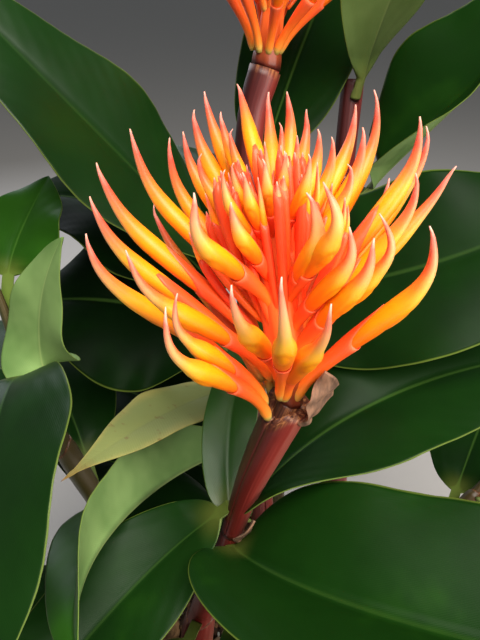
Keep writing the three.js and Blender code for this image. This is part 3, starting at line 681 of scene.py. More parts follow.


# Leaves

# A leaf leaves its stalk at a height, bends over its belly and ends at its tip, and width is its blade's.
# Roll turns the blade about its midrib in degrees, at the middle and at the tip, and rollBase at the foot.
# Fold lifts its halves, and blunt, narrow and drawn change its outline. Tone makes it lighter or darker, and
# rib, olive and sheen set the rest of its finish. The low tone of the deep leaves is painted shade
leaves = {
    "leaf_front_right": {
        "stalk": "main", "at": 286, "belly": [-6, -96, 313], "tip": [142, -108, 296], "width": 87,
        "roll": [8, 11], "rollBase": 9, "fold": 34, "blunt": True, "petiole": 3, "rise": 4, "base": 0.4,
        "tone": 0.0, "rib": 0.1, "sheen": 0.04,
    },
    "leaf_right": {
        "stalk": "main", "at": 293, "belly": [25, -5, 343], "tip": [134, 17, 334], "width": 62,
        "roll": [19, 12], "rollBase": -36, "fold": 20, "blunt": True, "petiole": 5,
        "tone": -0.08, "rib": 0.3,
    },
    "leaf_front_left": {
        "stalk": "main", "at": 302, "belly": [-53, -35, 275], "tip": [-110, -121, 247], "width": 48,
        "roll": [-15, -10], "rollBase": -22, "fold": 20, "petiole": 5, "rise": -10,
        "tone": 0.0, "rib": 0.15, "sheen": 0.1,
    },
    "leaf_left_curled": {
        "stalk": "second", "at": 258, "belly": [-88, -50, 306], "tip": [-60, -106, 310], "width": 48,
        "roll": [66, 46], "fold": 52, "tone": 0.2, "sheen": 0.2,
    },
    "leaf_behind_stalk": {
        "stalk": "main", "at": 290, "belly": [-25, 3, 322], "tip": [-4, 24, 352], "width": 22,
        "blunt": True, "rise": 5, "tone": 0.26, "rib": 0.1, "sheen": 0.3,
    },
    "leaf_upper_left": {
        "stalk": "second", "at": 345, "belly": [-72, 28, 426], "tip": [-122, 40, 476], "width": 62,
        "roll": [-40, -30], "tone": -0.02, "rib": 0.1, "sheen": 0.2,
    },
    "leaf_upper_right": {
        "stalk": "second", "at": 335, "belly": [34, 2, 358], "tip": [122, 18, 406], "width": 80,
        "roll": [45, 35], "blunt": True, "petiole": 18, "tone": -0.14, "rib": 0.2, "sheen": 0.06,
    },
    "leaf_old": {
        "stalk": "second", "at": 287, "belly": [-50, 4, 314], "tip": [-76, -50, 325], "width": 32,
        "roll": [0, -40], "blunt": True, "petiole": 16, "drawn": True,
    },
    "leaf_back_right": {
        "stalk": "second", "at": 385, "belly": [12, 125, 450], "tip": [52, 165, 510], "width": 60,
        "roll": [10, 0], "tone": -0.14, "sheen": 0.04,
    },
    # these five leaves lie deep in the foliage, and their low tone is painted shade
    "leaf_mid_left": {
        "stalk": "second", "at": 305, "belly": [-50, 58, 343], "tip": [-122, 66, 331], "width": 90,
        "roll": [-40, -20], "tone": -0.3, "sheen": 0.02,
    },
    "leaf_low_left": {
        "stalk": "second", "at": 215, "belly": [-52, 4, 258], "tip": [-94, -37, 242], "width": 70,
        "roll": [-10, 0], "tone": -0.22, "sheen": 0.03,
    },
    "leaf_left_deep": {
        "stalk": "second", "at": 236, "belly": [-60, 66, 284], "tip": [-122, 106, 258], "width": 68,
        "tone": -0.3, "sheen": 0.02,
    },
    "leaf_left_shade": {
        "stalk": "second", "at": 325, "belly": [-62, 92, 385], "tip": [-128, 100, 372], "width": 74,
        "roll": [-16, -16], "tone": -0.3, "sheen": 0.02,
    },
    "leaf_low_deep": {
        "stalk": "second", "at": 205, "belly": [-56, 46, 248], "tip": [-119, 57, 240], "width": 68,
        "tone": -0.3, "sheen": 0.02,
    },
    "leaf_top": {
        "stalk": "third", "at": 420, "belly": [44, 84, 470], "tip": [66, 44, 538], "width": 50,
        "narrow": True, "petiole": 7, "tone": 0.0, "olive": 0.65,
    },
    "leaf_top_right": {
        "stalk": "third", "at": 372, "belly": [54, 72, 399], "tip": [120, 56, 480], "width": 74,
        "roll": [28, 20], "fold": 42, "tone": 0.04,
    },
    "leaf_third_back": {
        "stalk": "third", "at": 350, "belly": [78, 130, 366], "tip": [118, 185, 340], "width": 60,
    },
    "leaf_left_rising": {
        "stalk": "left", "at": 352, "belly": [-114, 33, 369], "tip": [-99, 62, 395], "width": 42,
        "tone": 0.24,
    },
    "leaf_left_hanging": {
        "stalk": "left", "at": 300, "belly": [-105, 7, 350], "tip": [-81, 8, 389], "width": 34,
        "roll": [40, 40], "pale": True,
    },
    "leaf_left_edge": {
        "stalk": "left", "at": 322, "belly": [-98, -40, 364], "tip": [-88, -118, 300], "width": 68,
        "roll": [30, 30], "narrow": True, "tone": -0.04, "rib": 0.15, "sheen": 0.14,
    },
    "leaf_left_low": {"stalk": "left", "at": 280, "belly": [-135, 20, 318], "tip": [-195, 30, 280]},
    "leaf_left_back": {"stalk": "left", "at": 255, "belly": [-112, 75, 310], "tip": [-165, 125, 285]},
    "leaf_left_front": {
        "stalk": "left", "at": 218, "belly": [-100, -45, 245], "tip": [-140, -105, 215], "width": 58,
    },
    "leaf_right_front": {"stalk": "right", "at": 252, "belly": [140, -32, 284], "tip": [180, -88, 250]},
    "leaf_right_side": {"stalk": "right", "at": 262, "belly": [158, 28, 290], "tip": [216, 46, 248]},
    "leaf_right_back": {"stalk": "right", "at": 236, "belly": [124, 82, 276], "tip": [166, 140, 255]},
    "leaf_right_low": {
        "stalk": "right", "at": 212, "belly": [96, -52, 242], "tip": [112, -122, 206], "width": 56,
    },
    "leaf_back_left": {"stalk": "back", "at": 345, "belly": [-50, 165, 385], "tip": [-100, 200, 360]},
    "leaf_back": {"stalk": "back", "at": 330, "belly": [22, 185, 365], "tip": [30, 250, 325], "width": 62},
    "leaf_back_side": {"stalk": "back", "at": 290, "belly": [72, 150, 325], "tip": [130, 185, 300]},
    "leaf_back_low": {"stalk": "back", "at": 260, "belly": [-45, 120, 300], "tip": [-110, 145, 270]},
    "leaf_main_low": {"stalk": "main", "at": 222, "belly": [-48, -85, 245], "tip": [-62, -155, 212]},
    "leaf_main_low_right": {"stalk": "main", "at": 240, "belly": [10, -80, 255], "tip": [52, -145, 215]},
}
# dry scales are small leaves that crumple
scales = {
    "bract_head": {
        "stalk": "main", "at": 352, "belly": [12, -54, 360], "tip": [9, -55, 373], "width": 12,
        "roll": [0, 40], "petiole": 2, "rise": 1, "tone": 0.15, "crumple": 1.1,
    },
    "bract_joint": {
        "stalk": "main", "at": 290, "belly": [-14, -48, 296], "tip": [-11, -50, 306], "width": 8,
        "roll": [0, 30], "petiole": 2, "rise": 1, "tone": 0.2, "crumple": 0.4,
    },
}
blade = {
    "petioleRows": 8,
    "rows": 96,
    "halfColumns": 14,
    "widest": 0.42,
    "bluntBase": 0.28,  # powers of the base's outline: the lower, the blunter
    "usualBase": 0.6,
    "narrowBase": 1.0,
    "bluntCrowd": 2.6,
    "usualCrowd": 1.5,
    "bluntStart": 0.004,  # share of the blade in which it leaves the petiole's form
    "usualStart": 0.1,
    "usualWidth": 60,
    "petiole": 15,
    "bluntPetiole": 4,
    "petioleHalfWidth": 2.4,
    "petioleThickness": 2.6,
    "rise": 14,
    "above": 0.35,  # how far the upper side lies over the midrib's line
    "thickness": 0.75,
    "marginThickness": 0.35,
    "ribDepth": 1.3,
    "channel": 0.35,
    "fold": 12,
    "droop": 0.12,
    "waveHeight": 2.2,
    "waves": 2.5,
    "veinSpacing": 1.5,
    "veinSlant": 2.1,
    "pleatSpacing": 13,
    "pleatDepth": 0.1,
    "unevenSize": 26,
    "crumpleSize": 11,
    "rib": 0.35,
    "sheen": 0.07,
    "footStrength": 0.4,
    "footLength": 14,
    "footHalfWidth": 12,
}


def midribOf(leaf):
    # leaves the stalk's side, climbs beside it and bends over the belly to the tip
    stalk = stalks[leaf["stalk"]]
    line = stalk["line"]
    share = np.interp(leaf["at"], line["points"][:, 2], line["share"])
    centre, along = pointAt(line, share), directionAt(line, share)
    out = np.asarray(leaf["belly"], float) - centre
    out = unit(out - out.dot(along) * along)
    start = centre + out * stalkRadius(stalk, share)
    petiole = leaf.get("petiole", blade["petiole"])
    climb = start + out * (0.7 * petiole + 0.4) + along * leaf.get("rise", blade["rise"])
    return bezierLine([start, climb, leaf["belly"], leaf["tip"]]), along


def bladeOutline(u, leaf):
    # rises as a bent circle to the widest place, then falls with a power to the tip
    widest = blade["widest"]
    share = np.clip(u, 0.0, 1.0)
    if leaf.get("blunt"):
        power = leaf.get("base", blade["bluntBase"])
    else:
        power = blade["narrowBase"] if leaf.get("narrow") else blade["usualBase"]
    near = (1 - (1 - np.minimum(share / widest, 1.0)) ** 2) ** power
    past = np.clip((share - widest) / (1 - widest), 0.0, 1.0)
    far = (1 - past ** 1.3) ** 1.5 if leaf.get("drawn") else (1 - past ** 1.9) ** 0.95
    return np.where(share < widest, near, far)


def bladeRows(leaf, petiole):
    # shares of the midrib for the rows, from the stalk to the tip. The blade's rows lie closer together
    # towards its base, and most of all where a blunt base spreads
    crowd = blade["bluntCrowd"] if leaf.get("blunt") else blade["usualCrowd"]
    step = np.linspace(0.0, 1.0, blade["rows"])
    spacing = 0.35 * step ** crowd + 0.65 * step ** (1.15 + 0.6 * (crowd - blade["usualCrowd"]))
    foot = np.linspace(0.0, petiole, blade["petioleRows"], endpoint=False)
    return np.concatenate([foot, petiole + (1 - petiole) * spacing])


def rollAt(leaf, share):
    # the blade turns about its midrib from base to middle to tip
    middle, tip = leaf.get("roll", (0, 0))
    base = leaf.get("rollBase", 0)
    roll = base + (middle - base) * ease(share / 0.4) + (tip - middle) * ease((share - 0.45) / 0.55)
    return np.radians(roll)[:, None]


def bothSides(upper, lower=None):
    # the columns of the upper side, then those of the underside on the way back
    lower = upper if lower is None else lower
    return np.concatenate([upper, lower[:, ::-1]], axis=1)


def leafShape(leaf, index):
    # a closed sheet about the midrib: each row runs across the upper side and back under it. The petiole is
    # nearly round, and leafy turns it into the blade, whose halves fold up, droop and wave to the margin
    line, along = midribOf(leaf)
    blunt = leaf.get("blunt", False)
    width = leaf.get("width", blade["usualWidth"])
    size = min(width / blade["usualWidth"], 1.0)
    usual = blade["bluntPetiole"] if blunt else blade["petiole"]
    petiole = leaf.get("petiole", usual) / line["length"]
    share = bladeRows(leaf, petiole)
    u = (share - petiole) / (1 - petiole)
    leafy = ease(u / (blade["bluntStart"] if blunt else blade["usualStart"]))
    roll = rollAt(leaf, share)
    tangent = directionAt(line, share)
    reference = along + (up - along) * ease(share / max(petiole * 0.75, 0.01))[:, None]
    flat = unit(np.cross(tangent, reference))
    rise = unit(np.cross(flat, tangent))
    side = flat * np.cos(roll) - rise * np.sin(roll)
    normal = rise * np.cos(roll) + flat * np.sin(roll)
    # half width, fold and wave, row by row and across
    spread = np.where(u > 0, bladeOutline(u, leaf), 0.0)
    point = 0.8 - 0.7 * ease((share - 0.96) / 0.04)
    least = np.where(share < 0.5, min(blade["petioleHalfWidth"], width / 5), point)
    half = np.maximum(spread * width / 2, least)[:, None]
    lift = (np.radians(leaf.get("fold", blade["fold"])) * leafy * (1 - 0.5 * ease((u - 0.6) / 0.4)))[:, None]
    # t runs from margin to margin, with its columns closer together towards them
    t = np.linspace(-1.0, 1.0, 2 * blade["halfColumns"] + 1)
    t = (0.55 * t + 0.45 * np.sin(t * np.pi / 2))[None, :]
    reach = half * np.abs(t)
    calm = ease(u / 0.45)[:, None] if blunt else 1.0
    turns = 2 * np.pi * blade["waves"] * u[:, None]
    wave = calm * np.sin(turns + index + np.sign(t)) * t * t * spread[:, None]
    bend = reach * (np.sin(lift) - blade["droop"] * np.abs(t)) + blade["waveHeight"] * wave * size
    # veins and pleats slant from the midrib towards the tip, and a ripple makes the pleats uneven
    lengthwise = (u * line["length"])[:, None]
    slanted = lengthwise - blade["veinSlant"] * reach
    vein = slanted / blade["veinSpacing"]
    pleat = 2 * np.pi * slanted / blade["pleatSpacing"] + index
    flatPlace = np.stack([lengthwise / 3 + 0 * t, np.sign(t) * reach, 0 * reach + 9 * index], axis=-1)
    uneven = ripple(flatPlace, blade["unevenSize"], index)
    ribs = blade["pleatDepth"] * size ** 2 * (np.sin(pleat) + 2.2 * uneven)
    ribs = ribs * ease(np.abs(t) / 0.2) * spread[:, None]
    channel = -blade["channel"] * size * np.exp(-(reach / 1.3) ** 2) * leafy[:, None]
    middle = pointAt(line, share)[:, None]
    places = middle + side[:, None] * (np.sign(t) * reach * np.cos(lift))[..., None]
    surface = places + normal[:, None] * (leafy[:, None] * bend + channel + leafy[:, None] * ribs)[..., None]
    # thickness: a round petiole, then a thin blade with a ridge under the midrib
    roundness = np.sqrt(np.maximum(1 - t ** 2, 0.0))
    stemDepth = min(blade["petioleThickness"], width / 5) * (0.25 + 0.75 * roundness)
    ridge = blade["ribDepth"] * (1 - 0.7 * share[:, None]) * size * np.exp(-(reach / 1.5) ** 2)
    margin = blade["marginThickness"]
    thin = margin + (blade["thickness"] - margin) * ease((1 - np.abs(t)) / 0.3)
    depth = stemDepth + (thin + ridge - stemDepth) * leafy[:, None]
    top = surface + normal[:, None] * blade["above"]
    grid = bothSides(top, top - normal[:, None] * depth[..., None])
    if "crumple" in leaf:
        folds = [ripple(grid, blade["crumpleSize"], index + axis, 2) for axis in range(3)]
        grid = grid + leaf["crumple"] * np.stack(folds, axis=-1) * leafy[:, None, None]
    # pale shows the underside's finish above too, and the yellow foot fades along the blade and to its sides
    yellow = ease(1 - lengthwise / blade["footLength"]) * ease(1 - reach / blade["footHalfWidth"])
    midribShows = leaf.get("rib", blade["rib"]) * (1 - 0.6 * share[:, None])
    shape = newShape()
    addTube(
        shape, grid, across=bothSides(t) * leafy[:, None], along=share[:, None], vein=bothSides(vein),
        under=bothSides(0 * t + leaf.get("pale", 0), 0 * t + 1), tone=leaf.get("tone", 0.0), rib=midribShows,
        sheen=leaf.get("sheen", blade["sheen"]), olive=leaf.get("olive", 0.0),
        foot=blade["footStrength"] * bothSides(yellow),
    )
    return shape


# Brushes

# A brush leans along its axis, and its core is pairs of a height and a radius. Aside sets its lowest buds so
# far to the right, or to the left below zero, and backSlimmer is the share by which those behind are slimmer
brush = {
    "stalk": "main",
    "lean": (-0.12, 0.0, 1.0),
    "aside": -3.8,
    "gap": 0.3,  # between a stalk's end and its brush
    "core": [[0, 4.3], [4, 4.2], [12, 4.8], [22, 5.8], [34, 6.4], [50, 6.5], [60, 4], [62, 1.5]],
    "bodyRadius": 2.95,
    "youngRadius": 1.6,
    "backSlimmer": 0.16,
}
# Sizes are shares of the bud's radius. The calyx's table runs along the whole bud, and those of the petals
# run from their start to the point. Mouth is the share of the bud's length where the calyx ends
bud = {
    "sides": 22,
    "calyxRows": 18,
    "petalRows": 44,
    "mouth": 0.43,
    "mouthUneven": 0.05,
    "innerMouth": 0.12,  # how much further along it lies on a bud near the axis
    "tooth": 0.2,
    "calyxGap": 0.16,
    "inTurn": [[1.0, 0.985, 0.95], [0.1, 0.3, 0.6], [1.0, 0.97, 0.9]],  # shares, insets and grades of its lip
    "petalRowShares": [[0, 0.14, 0.74, 1], [0, 0.24, 0.62, 1]],
    "lobeAt": 0.4,  # share of the petals' length where the lobe's middle lies
    "lobeReach": 0.1,
    "lobeSpread": 0.72,  # radians round the bud from its middle to its side
    "groove": 0.045,  # depth of the ring round the lobe
    "below": 0.02,  # depth of the groove that runs down from it
    "crease": 0.025,  # depth of the creases at the bud's two sides
    "lobe": 0.05,
    "frontLobe": 0.09,  # how much higher the lobe is towards the front
    "frontHorn": 0.26,  # share by which the horn is slimmer there
    "flattened": 0.05,
    "calyx": {
        "share": [0, 0.04, 0.1, 0.2, 0.3, 0.4, 0.55, 0.7],
        "size": [0.36, 0.58, 0.52, 0.56, 0.7, 0.86, 0.93, 0.95],
    },
    "upper": {
        "share": [0, 0.15, 0.26, 0.36, 0.46, 0.55, 0.64, 0.74, 0.84, 0.93, 1],
        "size": [0.62, 0.84, 0.94, 0.98, 0.96, 0.88, 0.74, 0.57, 0.4, 0.22, 0.06],
    },
    "outer": {
        "share": [0, 0.15, 0.26, 0.38, 0.47, 0.54, 0.6, 0.67, 0.76, 0.86, 0.94, 1],
        "size": [0.62, 0.86, 0.96, 1.03, 1.04, 0.98, 0.86, 0.7, 0.53, 0.36, 0.2, 0.06],
    },
}
# Side in degrees (0 the front, 90 the right), the knee's reach and height, and the tip's reach and height. A
# sixth number sets the calyx's mouth lower by that share
mainBuds = {
    "front": [
        [0, 44, 48, 45, 66], [15, 38, 43, 41, 55, 0.16], [-18, 35, 47, 37, 60, 0.03], [-38, 47, 41, 44, 56],
        [-45, 40, 43, 36, 55], [-56, 41, 52, 43, 67], [-40, 31, 66, 27, 78], [31, 33, 67, 24, 77],
        [42, 29, 55, 27, 65], [50, 30, 49, 31, 61], [58, 37, 54, 31, 66],
    ],
    "left": [
        [-80, 49, 50, 50, 67], [-96, 46, 53, 50, 72], [-106, 45, 58, 50, 79], [-117, 40, 65, 42, 86],
        [-130, 38, 63, 36, 81],
    ],
    "right": [
        [69, 44, 43, 42, 61], [94, 39, 55, 40, 69], [105, 47, 54, 55, 66], [111, 46, 63, 47, 80],
        [114, 50, 62, 52, 76], [121, 31, 65, 33, 79], [131, 46, 68, 45, 86], [131, 33, 71, 36, 84],
    ],
    "back": [
        [-137, 34, 69, 34, 82], [-145, 33, 73, 35, 87], [-154, 33, 77, 37, 91], [-170, 25, 84, 33, 92],
        [176, 34, 77, 36, 88], [164, 33, 76, 29, 89], [156, 34, 75, 32, 83],
    ],
    "inner": [
        [28, 25, 62, 20, 74], [-172, 21, 80, 27, 86], [-151, 22, 77, 24, 87], [163, 17, 76, 18, 83],
        [102, 23, 64, 23, 73], [127, 23, 67, 24, 78], [137, 22, 70, 23, 80], [145, 15, 72, 16, 80],
        [-150, 17, 74, 19, 83], [-28, 19, 64, 21, 74], [-44, 16, 70, 16, 80], [-25, 12, 68, 14, 79],
        [-126, 24, 70, 23, 78], [-55, 10, 71, 11, 80], [38, 15, 73, 17, 82], [-3, 11, 74, 10, 81],
        [28, 8, 74, 10, 82],
    ],
}
backRow = {"count": 5, "from": 131, "to": 229, "knee": [45, 43], "tip": [51, 58]}
# Young calyces crowd the top in a bundle of long tubes, and shorter ones stand between the buds at the sides
# and back. Reach and height run from the first to the last of a family
youngBuds = {
    "goldenAngle": 137.5,
    "crown": {"count": 24, "first": 0, "reach": [2, 14], "height": [82, 74], "uneven": 5.0, "length": 46},
    "flank": {"count": 26, "first": 60, "reach": [14, 23], "height": [76, 60], "uneven": 4.0, "length": 34},
    "openFront": 75,  # degrees to each side of the front that the flank leaves free
    "sides": 12,
    "calyxRows": 16,
    "budRows": 12,
    "calyx": [[0, 0.3, 0.75, 0.93, 1], [0.6, 0.8, 1.0, 0.92, 0.76]],
    "bud": [[0, 0.3, 0.6, 0.85, 1], [0.66, 0.7, 0.5, 0.26, 0.08]],
}
secondBrush = {
    "stalk": "second",
    "lean": (0.12, 0.0, 1.0),
    "aside": 0.0,
    "bodyRadius": 2.6,
    "core": [[0, 6.2], [4, 6.1], [9, 5.2], [22, 4.6], [34, 6], [50, 6.5], [60, 4], [62, 1.5]],
    "rings": [
        {"count": 9, "start": 0, "knee": [34, 42], "tip": [37, 60]},
        {"count": 9, "start": 20, "knee": [27, 52], "tip": [28, 70]},
        {"count": 7, "start": 5, "knee": [18, 58], "tip": [18, 75]},
    ],
}


def brushFrame(form):
    # where a brush stands: its foot over the stalk's end, its axis, and the ways ahead and to the right
    line = stalks[form["stalk"]]["line"]
    end = directionAt(line, 1.0)
    axis = unit(np.array(form["lean"]))
    ahead = unit(np.array([0.0, -1.0, 0.0]) + axis * axis[1])
    return {
        "foot": pointAt(line, 1.0) + end * brush["gap"], "axis": axis, "ahead": ahead,
        "right": np.cross(axis, ahead), "stalkEnd": end, "aside": form["aside"],
    }


def budLine(place, azimuth, knee, tip, length=None):
    # from the core up and out, round the knee and up to the tip. The lowest ones leave from the rim of the
    # stalk's cup, which lies lower on the left; a length sets how far below its tip a young one starts
    angle = math.radians(azimuth)
    out = place["ahead"] * math.cos(angle) + place["right"] * math.sin(angle)
    left = max(-math.sin(angle), 0.0)
    kneeOut, kneeUp = knee

    def at(reach, height):
        return place["foot"] + out * reach + place["axis"] * height

    if length:
        start = at(1.2 + 0.25 * kneeOut, tip[1] - length)
        leave = at(0.8 * kneeOut, tip[1] - 0.6 * length)
    else:
        # a high or a near knee has its root high on the core
        fromKnee = kneeUp - 44 + 0.75 * (45 - kneeOut)
        reach = 5.4 - 3.9 * float(ease(fromKnee / 30)) + 1.5 * left
        root = min(max(fromKnee, 0.8 - 5.5 * left), 52)
        aside = place["right"] * place["aside"] * float(ease(1 - root / 16))
        start = at(reach, root) + aside
        leave = at(reach + 0.12 * kneeOut, root + 0.3 * math.hypot(kneeOut, kneeUp - root)) + 0.5 * aside
    bend = at(kneeOut, kneeUp)
    return bezierLine([start, leave, bend, bend, at(*tip)]), np.cross(place["axis"], out), out


def outlineOf(table, share, blur=0.012):
    # a table read between its rows, and softened by averaging over a short stretch
    read = [np.interp(share + shift, table["share"], table["size"]) for shift in (-blur, 0.0, blur)]
    return sum(read) / 3


def budTube(line, share, side, size, angle):
    # circles round the bud's line
    return ringGrid(pointAt(line, share), directionAt(line, share), side, size, angle + 0 * size)


def addBudPart(shape, grid, grade, angle, kind, tone, seam=0.0):
    # upper is 1 on the bud's upper side and -1 on its outer side
    addTube(shape, grid, along=grade, upper=np.sin(angle), kind=kind, tone=tone, seam=seam)


def hill(x, middle, width):
    # one at the middle, falling away to both sides as a bell
    return np.exp(-((x - middle) / width) ** 2)


def addBud(shape, place, azimuth, knee, tip, radius, tone, lower, random):
    # a bud is a calyx and the petals' body: circles along one line, with their size from tables. Angle 90
    # degrees is the bud's upper side and 270 its outer side, where the points stand closer together
    line, side, out = budLine(place, azimuth, knee, tip)
    angle = np.linspace(0.0, 2 * np.pi, bud["sides"], endpoint=False)[None, :]
    angle = angle - 0.5 * np.cos(angle)
    uneven = bud["mouthUneven"]
    mouth = bud["mouth"] + random.uniform(-uneven, uneven) + bud["innerMouth"] * tone - lower
    turn = random.uniform(-0.5, 0.5)
    # calyx: out to a slanting mouth with one tooth on its upper side, then a little way back inside
    tooth = bud["tooth"] * ((1 + np.cos(angle - np.pi / 2 - turn)) / 2) ** 4
    run = np.linspace(0.0, 1.0, bud["calyxRows"])[:, None]
    share = run * (mouth - 0.03 + tooth)
    size = radius * outlineOf(bud["calyx"], share) + bud["calyxGap"]
    lipShares, lipInsets, lipGrades = np.array(bud["inTurn"])[:, :, None]
    share = np.vstack([share, share[-1:] * lipShares])
    size = np.vstack([size, size[-1:] - lipInsets])
    grade = np.vstack([run, lipGrades])
    addBudPart(shape, budTube(line, share, side, size, angle), grade, angle, 0.0, tone)
    # petals: a closed body from inside the calyx to its point. On the outer side the lower petals end in a
    # step, past which the upper one goes on as a horn, and before it an oval lobe shows in a ring groove
    run = np.linspace(0.0, 1.0, bud["petalRows"])[:, None]
    grade = np.interp(run, *bud["petalRowShares"])
    start = mouth - 0.1
    share = start + (1.0 - start) * grade
    outward = ease(0.5 - 0.8 * np.sin(angle))
    size = outlineOf(bud["upper"], grade) * (1 - outward) + outlineOf(bud["outer"], grade) * outward
    apart = np.angle(np.exp(1j * (angle - 1.5 * np.pi - 0.35 * turn)))
    rings = np.sqrt(((grade - bud["lobeAt"]) / bud["lobeReach"]) ** 2 + (apart / bud["lobeSpread"]) ** 2)
    groove = hill(rings, 1, 0.2)
    below = hill(apart, 0.12, 0.14) * ease((0.32 - grade) / 0.05) * ease((grade - 0.12) / 0.08)
    crease = hill(np.abs(apart), 1.35, 0.2) * ease((grade - 0.2) / 0.1) * ease((0.58 - grade) / 0.05)
    lobe = np.clip(1 - rings, 0.0, 1.0)
    # towards the front the horn is slimmer and the lobe fuller
    front = float(ease((math.cos(math.radians(azimuth)) - 0.2) / 0.5) * ease((knee[0] - 28) / 8))
    relief = (bud["lobe"] + bud["frontLobe"] * front) * lobe
    relief = relief - bud["groove"] * groove - bud["below"] * below - bud["crease"] * crease
    size = size * (1 + relief) * (1 - bud["frontHorn"] * front * ease((grade - 0.47) / 0.15))
    size = radius * size * (1 + bud["flattened"] * np.cos(2 * angle)) * np.where(run < 0.02, 0.6, 1.0)
    # the very point hooks aside and inwards
    hook = ease((grade - 0.92) / 0.08) ** 2 * random.uniform(0.3, 1.3)
    aside = unit(side * random.uniform(-1, 1) - out * random.uniform(0.2, 1.0))
    centre = pointAt(line, share) + hook[..., None] * aside
    grid = ringGrid(centre, directionAt(line, share), side, size, angle + 0 * size)
    seam = np.clip(0.9 * groove + 0.7 * below + 0.35 * crease, 0.0, 1.0)
    addBudPart(shape, grid, grade, angle, 1.0, tone, seam)


def addYoung(shape, place, azimuth, reach, height, length, radius, random):
    # a young calyx: a slim tube with a notched mouth, and in it the bud's point, longer on a grown one
    lean = random.uniform(-0.5, 2.0)
    line, side, out = budLine(place, azimuth, [reach, height - 8], [reach + lean, height], length)
    angle = np.linspace(0.0, 2 * np.pi, youngBuds["sides"], endpoint=False)[None, :]
    run = np.linspace(0.0, 1.0, youngBuds["calyxRows"])[:, None]
    grown = random.random() < 0.45
    top = 0.72 if grown else 0.92
    tooth = 0.06 * ((1 + np.cos(angle - random.uniform(0, 6.28))) / 2) ** 2
    share = run * (top + tooth)
    size = radius * np.interp(run, *youngBuds["calyx"]) + 0 * angle
    share = np.vstack([share, share[-1:] - 0.004, share[-1:] - 0.02])
    size = np.vstack([size, size[-1:] * 0.8, size[-1:] * 0.6])
    tone = random.uniform(0.2, 1.0)
    grade = np.vstack([0.25 + 0.75 * run, [[1.0], [1.0]]])
    addBudPart(shape, budTube(line, share, side, size, angle), grade, angle, 0.0, tone)
    run = np.linspace(0.0, 1.0, youngBuds["budRows"])[:, None]
    share = top - 0.06 + (1.0 - top + 0.06) * run
    size = radius * (np.interp(run, *youngBuds["bud"]) + 0 * angle)
    first = 0.3 if grown else 0.6
    grade = first + (0.98 - first) * run
    addBudPart(shape, budTube(line, share, side, size, angle), grade, angle, 1.0, 0.0)


def addCore(shape, place, core):
    # the brush's core is ribbed circles up its axis; its foot lies flat over the stalk's end
    angle = np.linspace(0.0, 2 * np.pi, 32, endpoint=False)[None, :]
    height = np.linspace(0.0, core[-1][0], 40)
    heights, radii = zip(*core)
    size = np.interp(height, heights, radii)[:, None] * (1 + 0.04 * np.cos(8 * angle + 0.1 * height[:, None]))
    centre = place["foot"] + place["axis"] * height[:, None]
    direction = unit(place["stalkEnd"] + (place["axis"] - place["stalkEnd"]) * ease(height / 6)[:, None])
    grid = ringGrid(centre[:, None], direction[:, None], sideways, size, angle + 0 * size)
    addTube(shape, grid, along=height[:, None] / core[-1][0], upper=0.0, kind=2.0, tone=0.6, seam=0.0)


def clawShape(place, buds, seed):
    # all claw-shaped buds of one brush, redder and with a higher mouth where the knee is near the axis
    random = np.random.default_rng(seed)
    shape = newShape()
    for azimuth, knee, tip, radius, lower in buds:
        tone = float(np.clip(1.15 - knee[0] / 30, 0.0, 1.0)) * random.uniform(0.7, 1.0)
        addBud(shape, place, azimuth, knee, tip, radius * random.uniform(0.93, 1.1), tone, lower, random)
    return shape


def crownShape(place, core, seed):
    # the core and the young calyces: each stands the golden angle round from the one before, and further out
    random = np.random.default_rng(seed)
    shape = newShape()
    addCore(shape, place, core)
    for name in ("crown", "flank"):
        family = youngBuds[name]
        for i in range(family["count"]):
            share = math.sqrt(i / (family["count"] - 1))
            reach = np.interp(share, [0, 1], family["reach"])
            height = np.interp(share, [0, 1], family["height"]) + random.uniform(-1, 0.5) * family["uneven"]
            radius = brush["youngRadius"] * random.uniform(0.8, 1.0)
            azimuth = (family["first"] + i * youngBuds["goldenAngle"] + 180) % 360 - 180
            if name == "crown" or abs(azimuth) > youngBuds["openFront"]:
                addYoung(shape, place, azimuth, reach, height, family["length"], radius, random)
    return shape


def mainBrushBuds():
    # the listed buds, then an even row at the back. A bud with a near knee is slimmer, and so is one behind
    turns = np.linspace(backRow["from"], backRow["to"], backRow["count"])
    rows = [row for side in mainBuds.values() for row in side]
    rows += [[turn, *backRow["knee"], *backRow["tip"]] for turn in turns]
    for azimuth, kneeOut, kneeUp, tipOut, tipUp, *lower in rows:
        grown = float(ease((kneeOut - 8) / 26))
        radius = brush["youngRadius"] + (brush["bodyRadius"] - brush["youngRadius"]) * grown
        radius *= 1 - brush["backSlimmer"] * float(ease((abs(azimuth) - 90) / 40))
        yield azimuth, [kneeOut, kneeUp], [tipOut, tipUp], radius, lower[0] if lower else 0.0


def secondBrushBuds():
    # rings of buds at even angles
    for ring in secondBrush["rings"]:
        for i in range(ring["count"]):
            azimuth = ring["start"] + i * 360 / ring["count"]
            yield azimuth, ring["knee"], ring["tip"], secondBrush["bodyRadius"], 0.0


# Pot, potting mix and rhizome

pot = {
    "height": 168,
    "footRadius": 68,
    "rimRadius": 100,
    "rimHeight": 30,
    "rimStep": 5,
    "wall": 6,
    "floor": 9,
    "edge": 2.4,
    "sides": 144,
    "wobble": 0.35,
    "drains": 4,
    "drainRadius": 6,
    "drainRing": 38,
}
mix = {"top": 149, "dome": 5, "lump": 2.2, "room": 1.4, "rings": 56, "sides": 150, "crumbReach": 84}
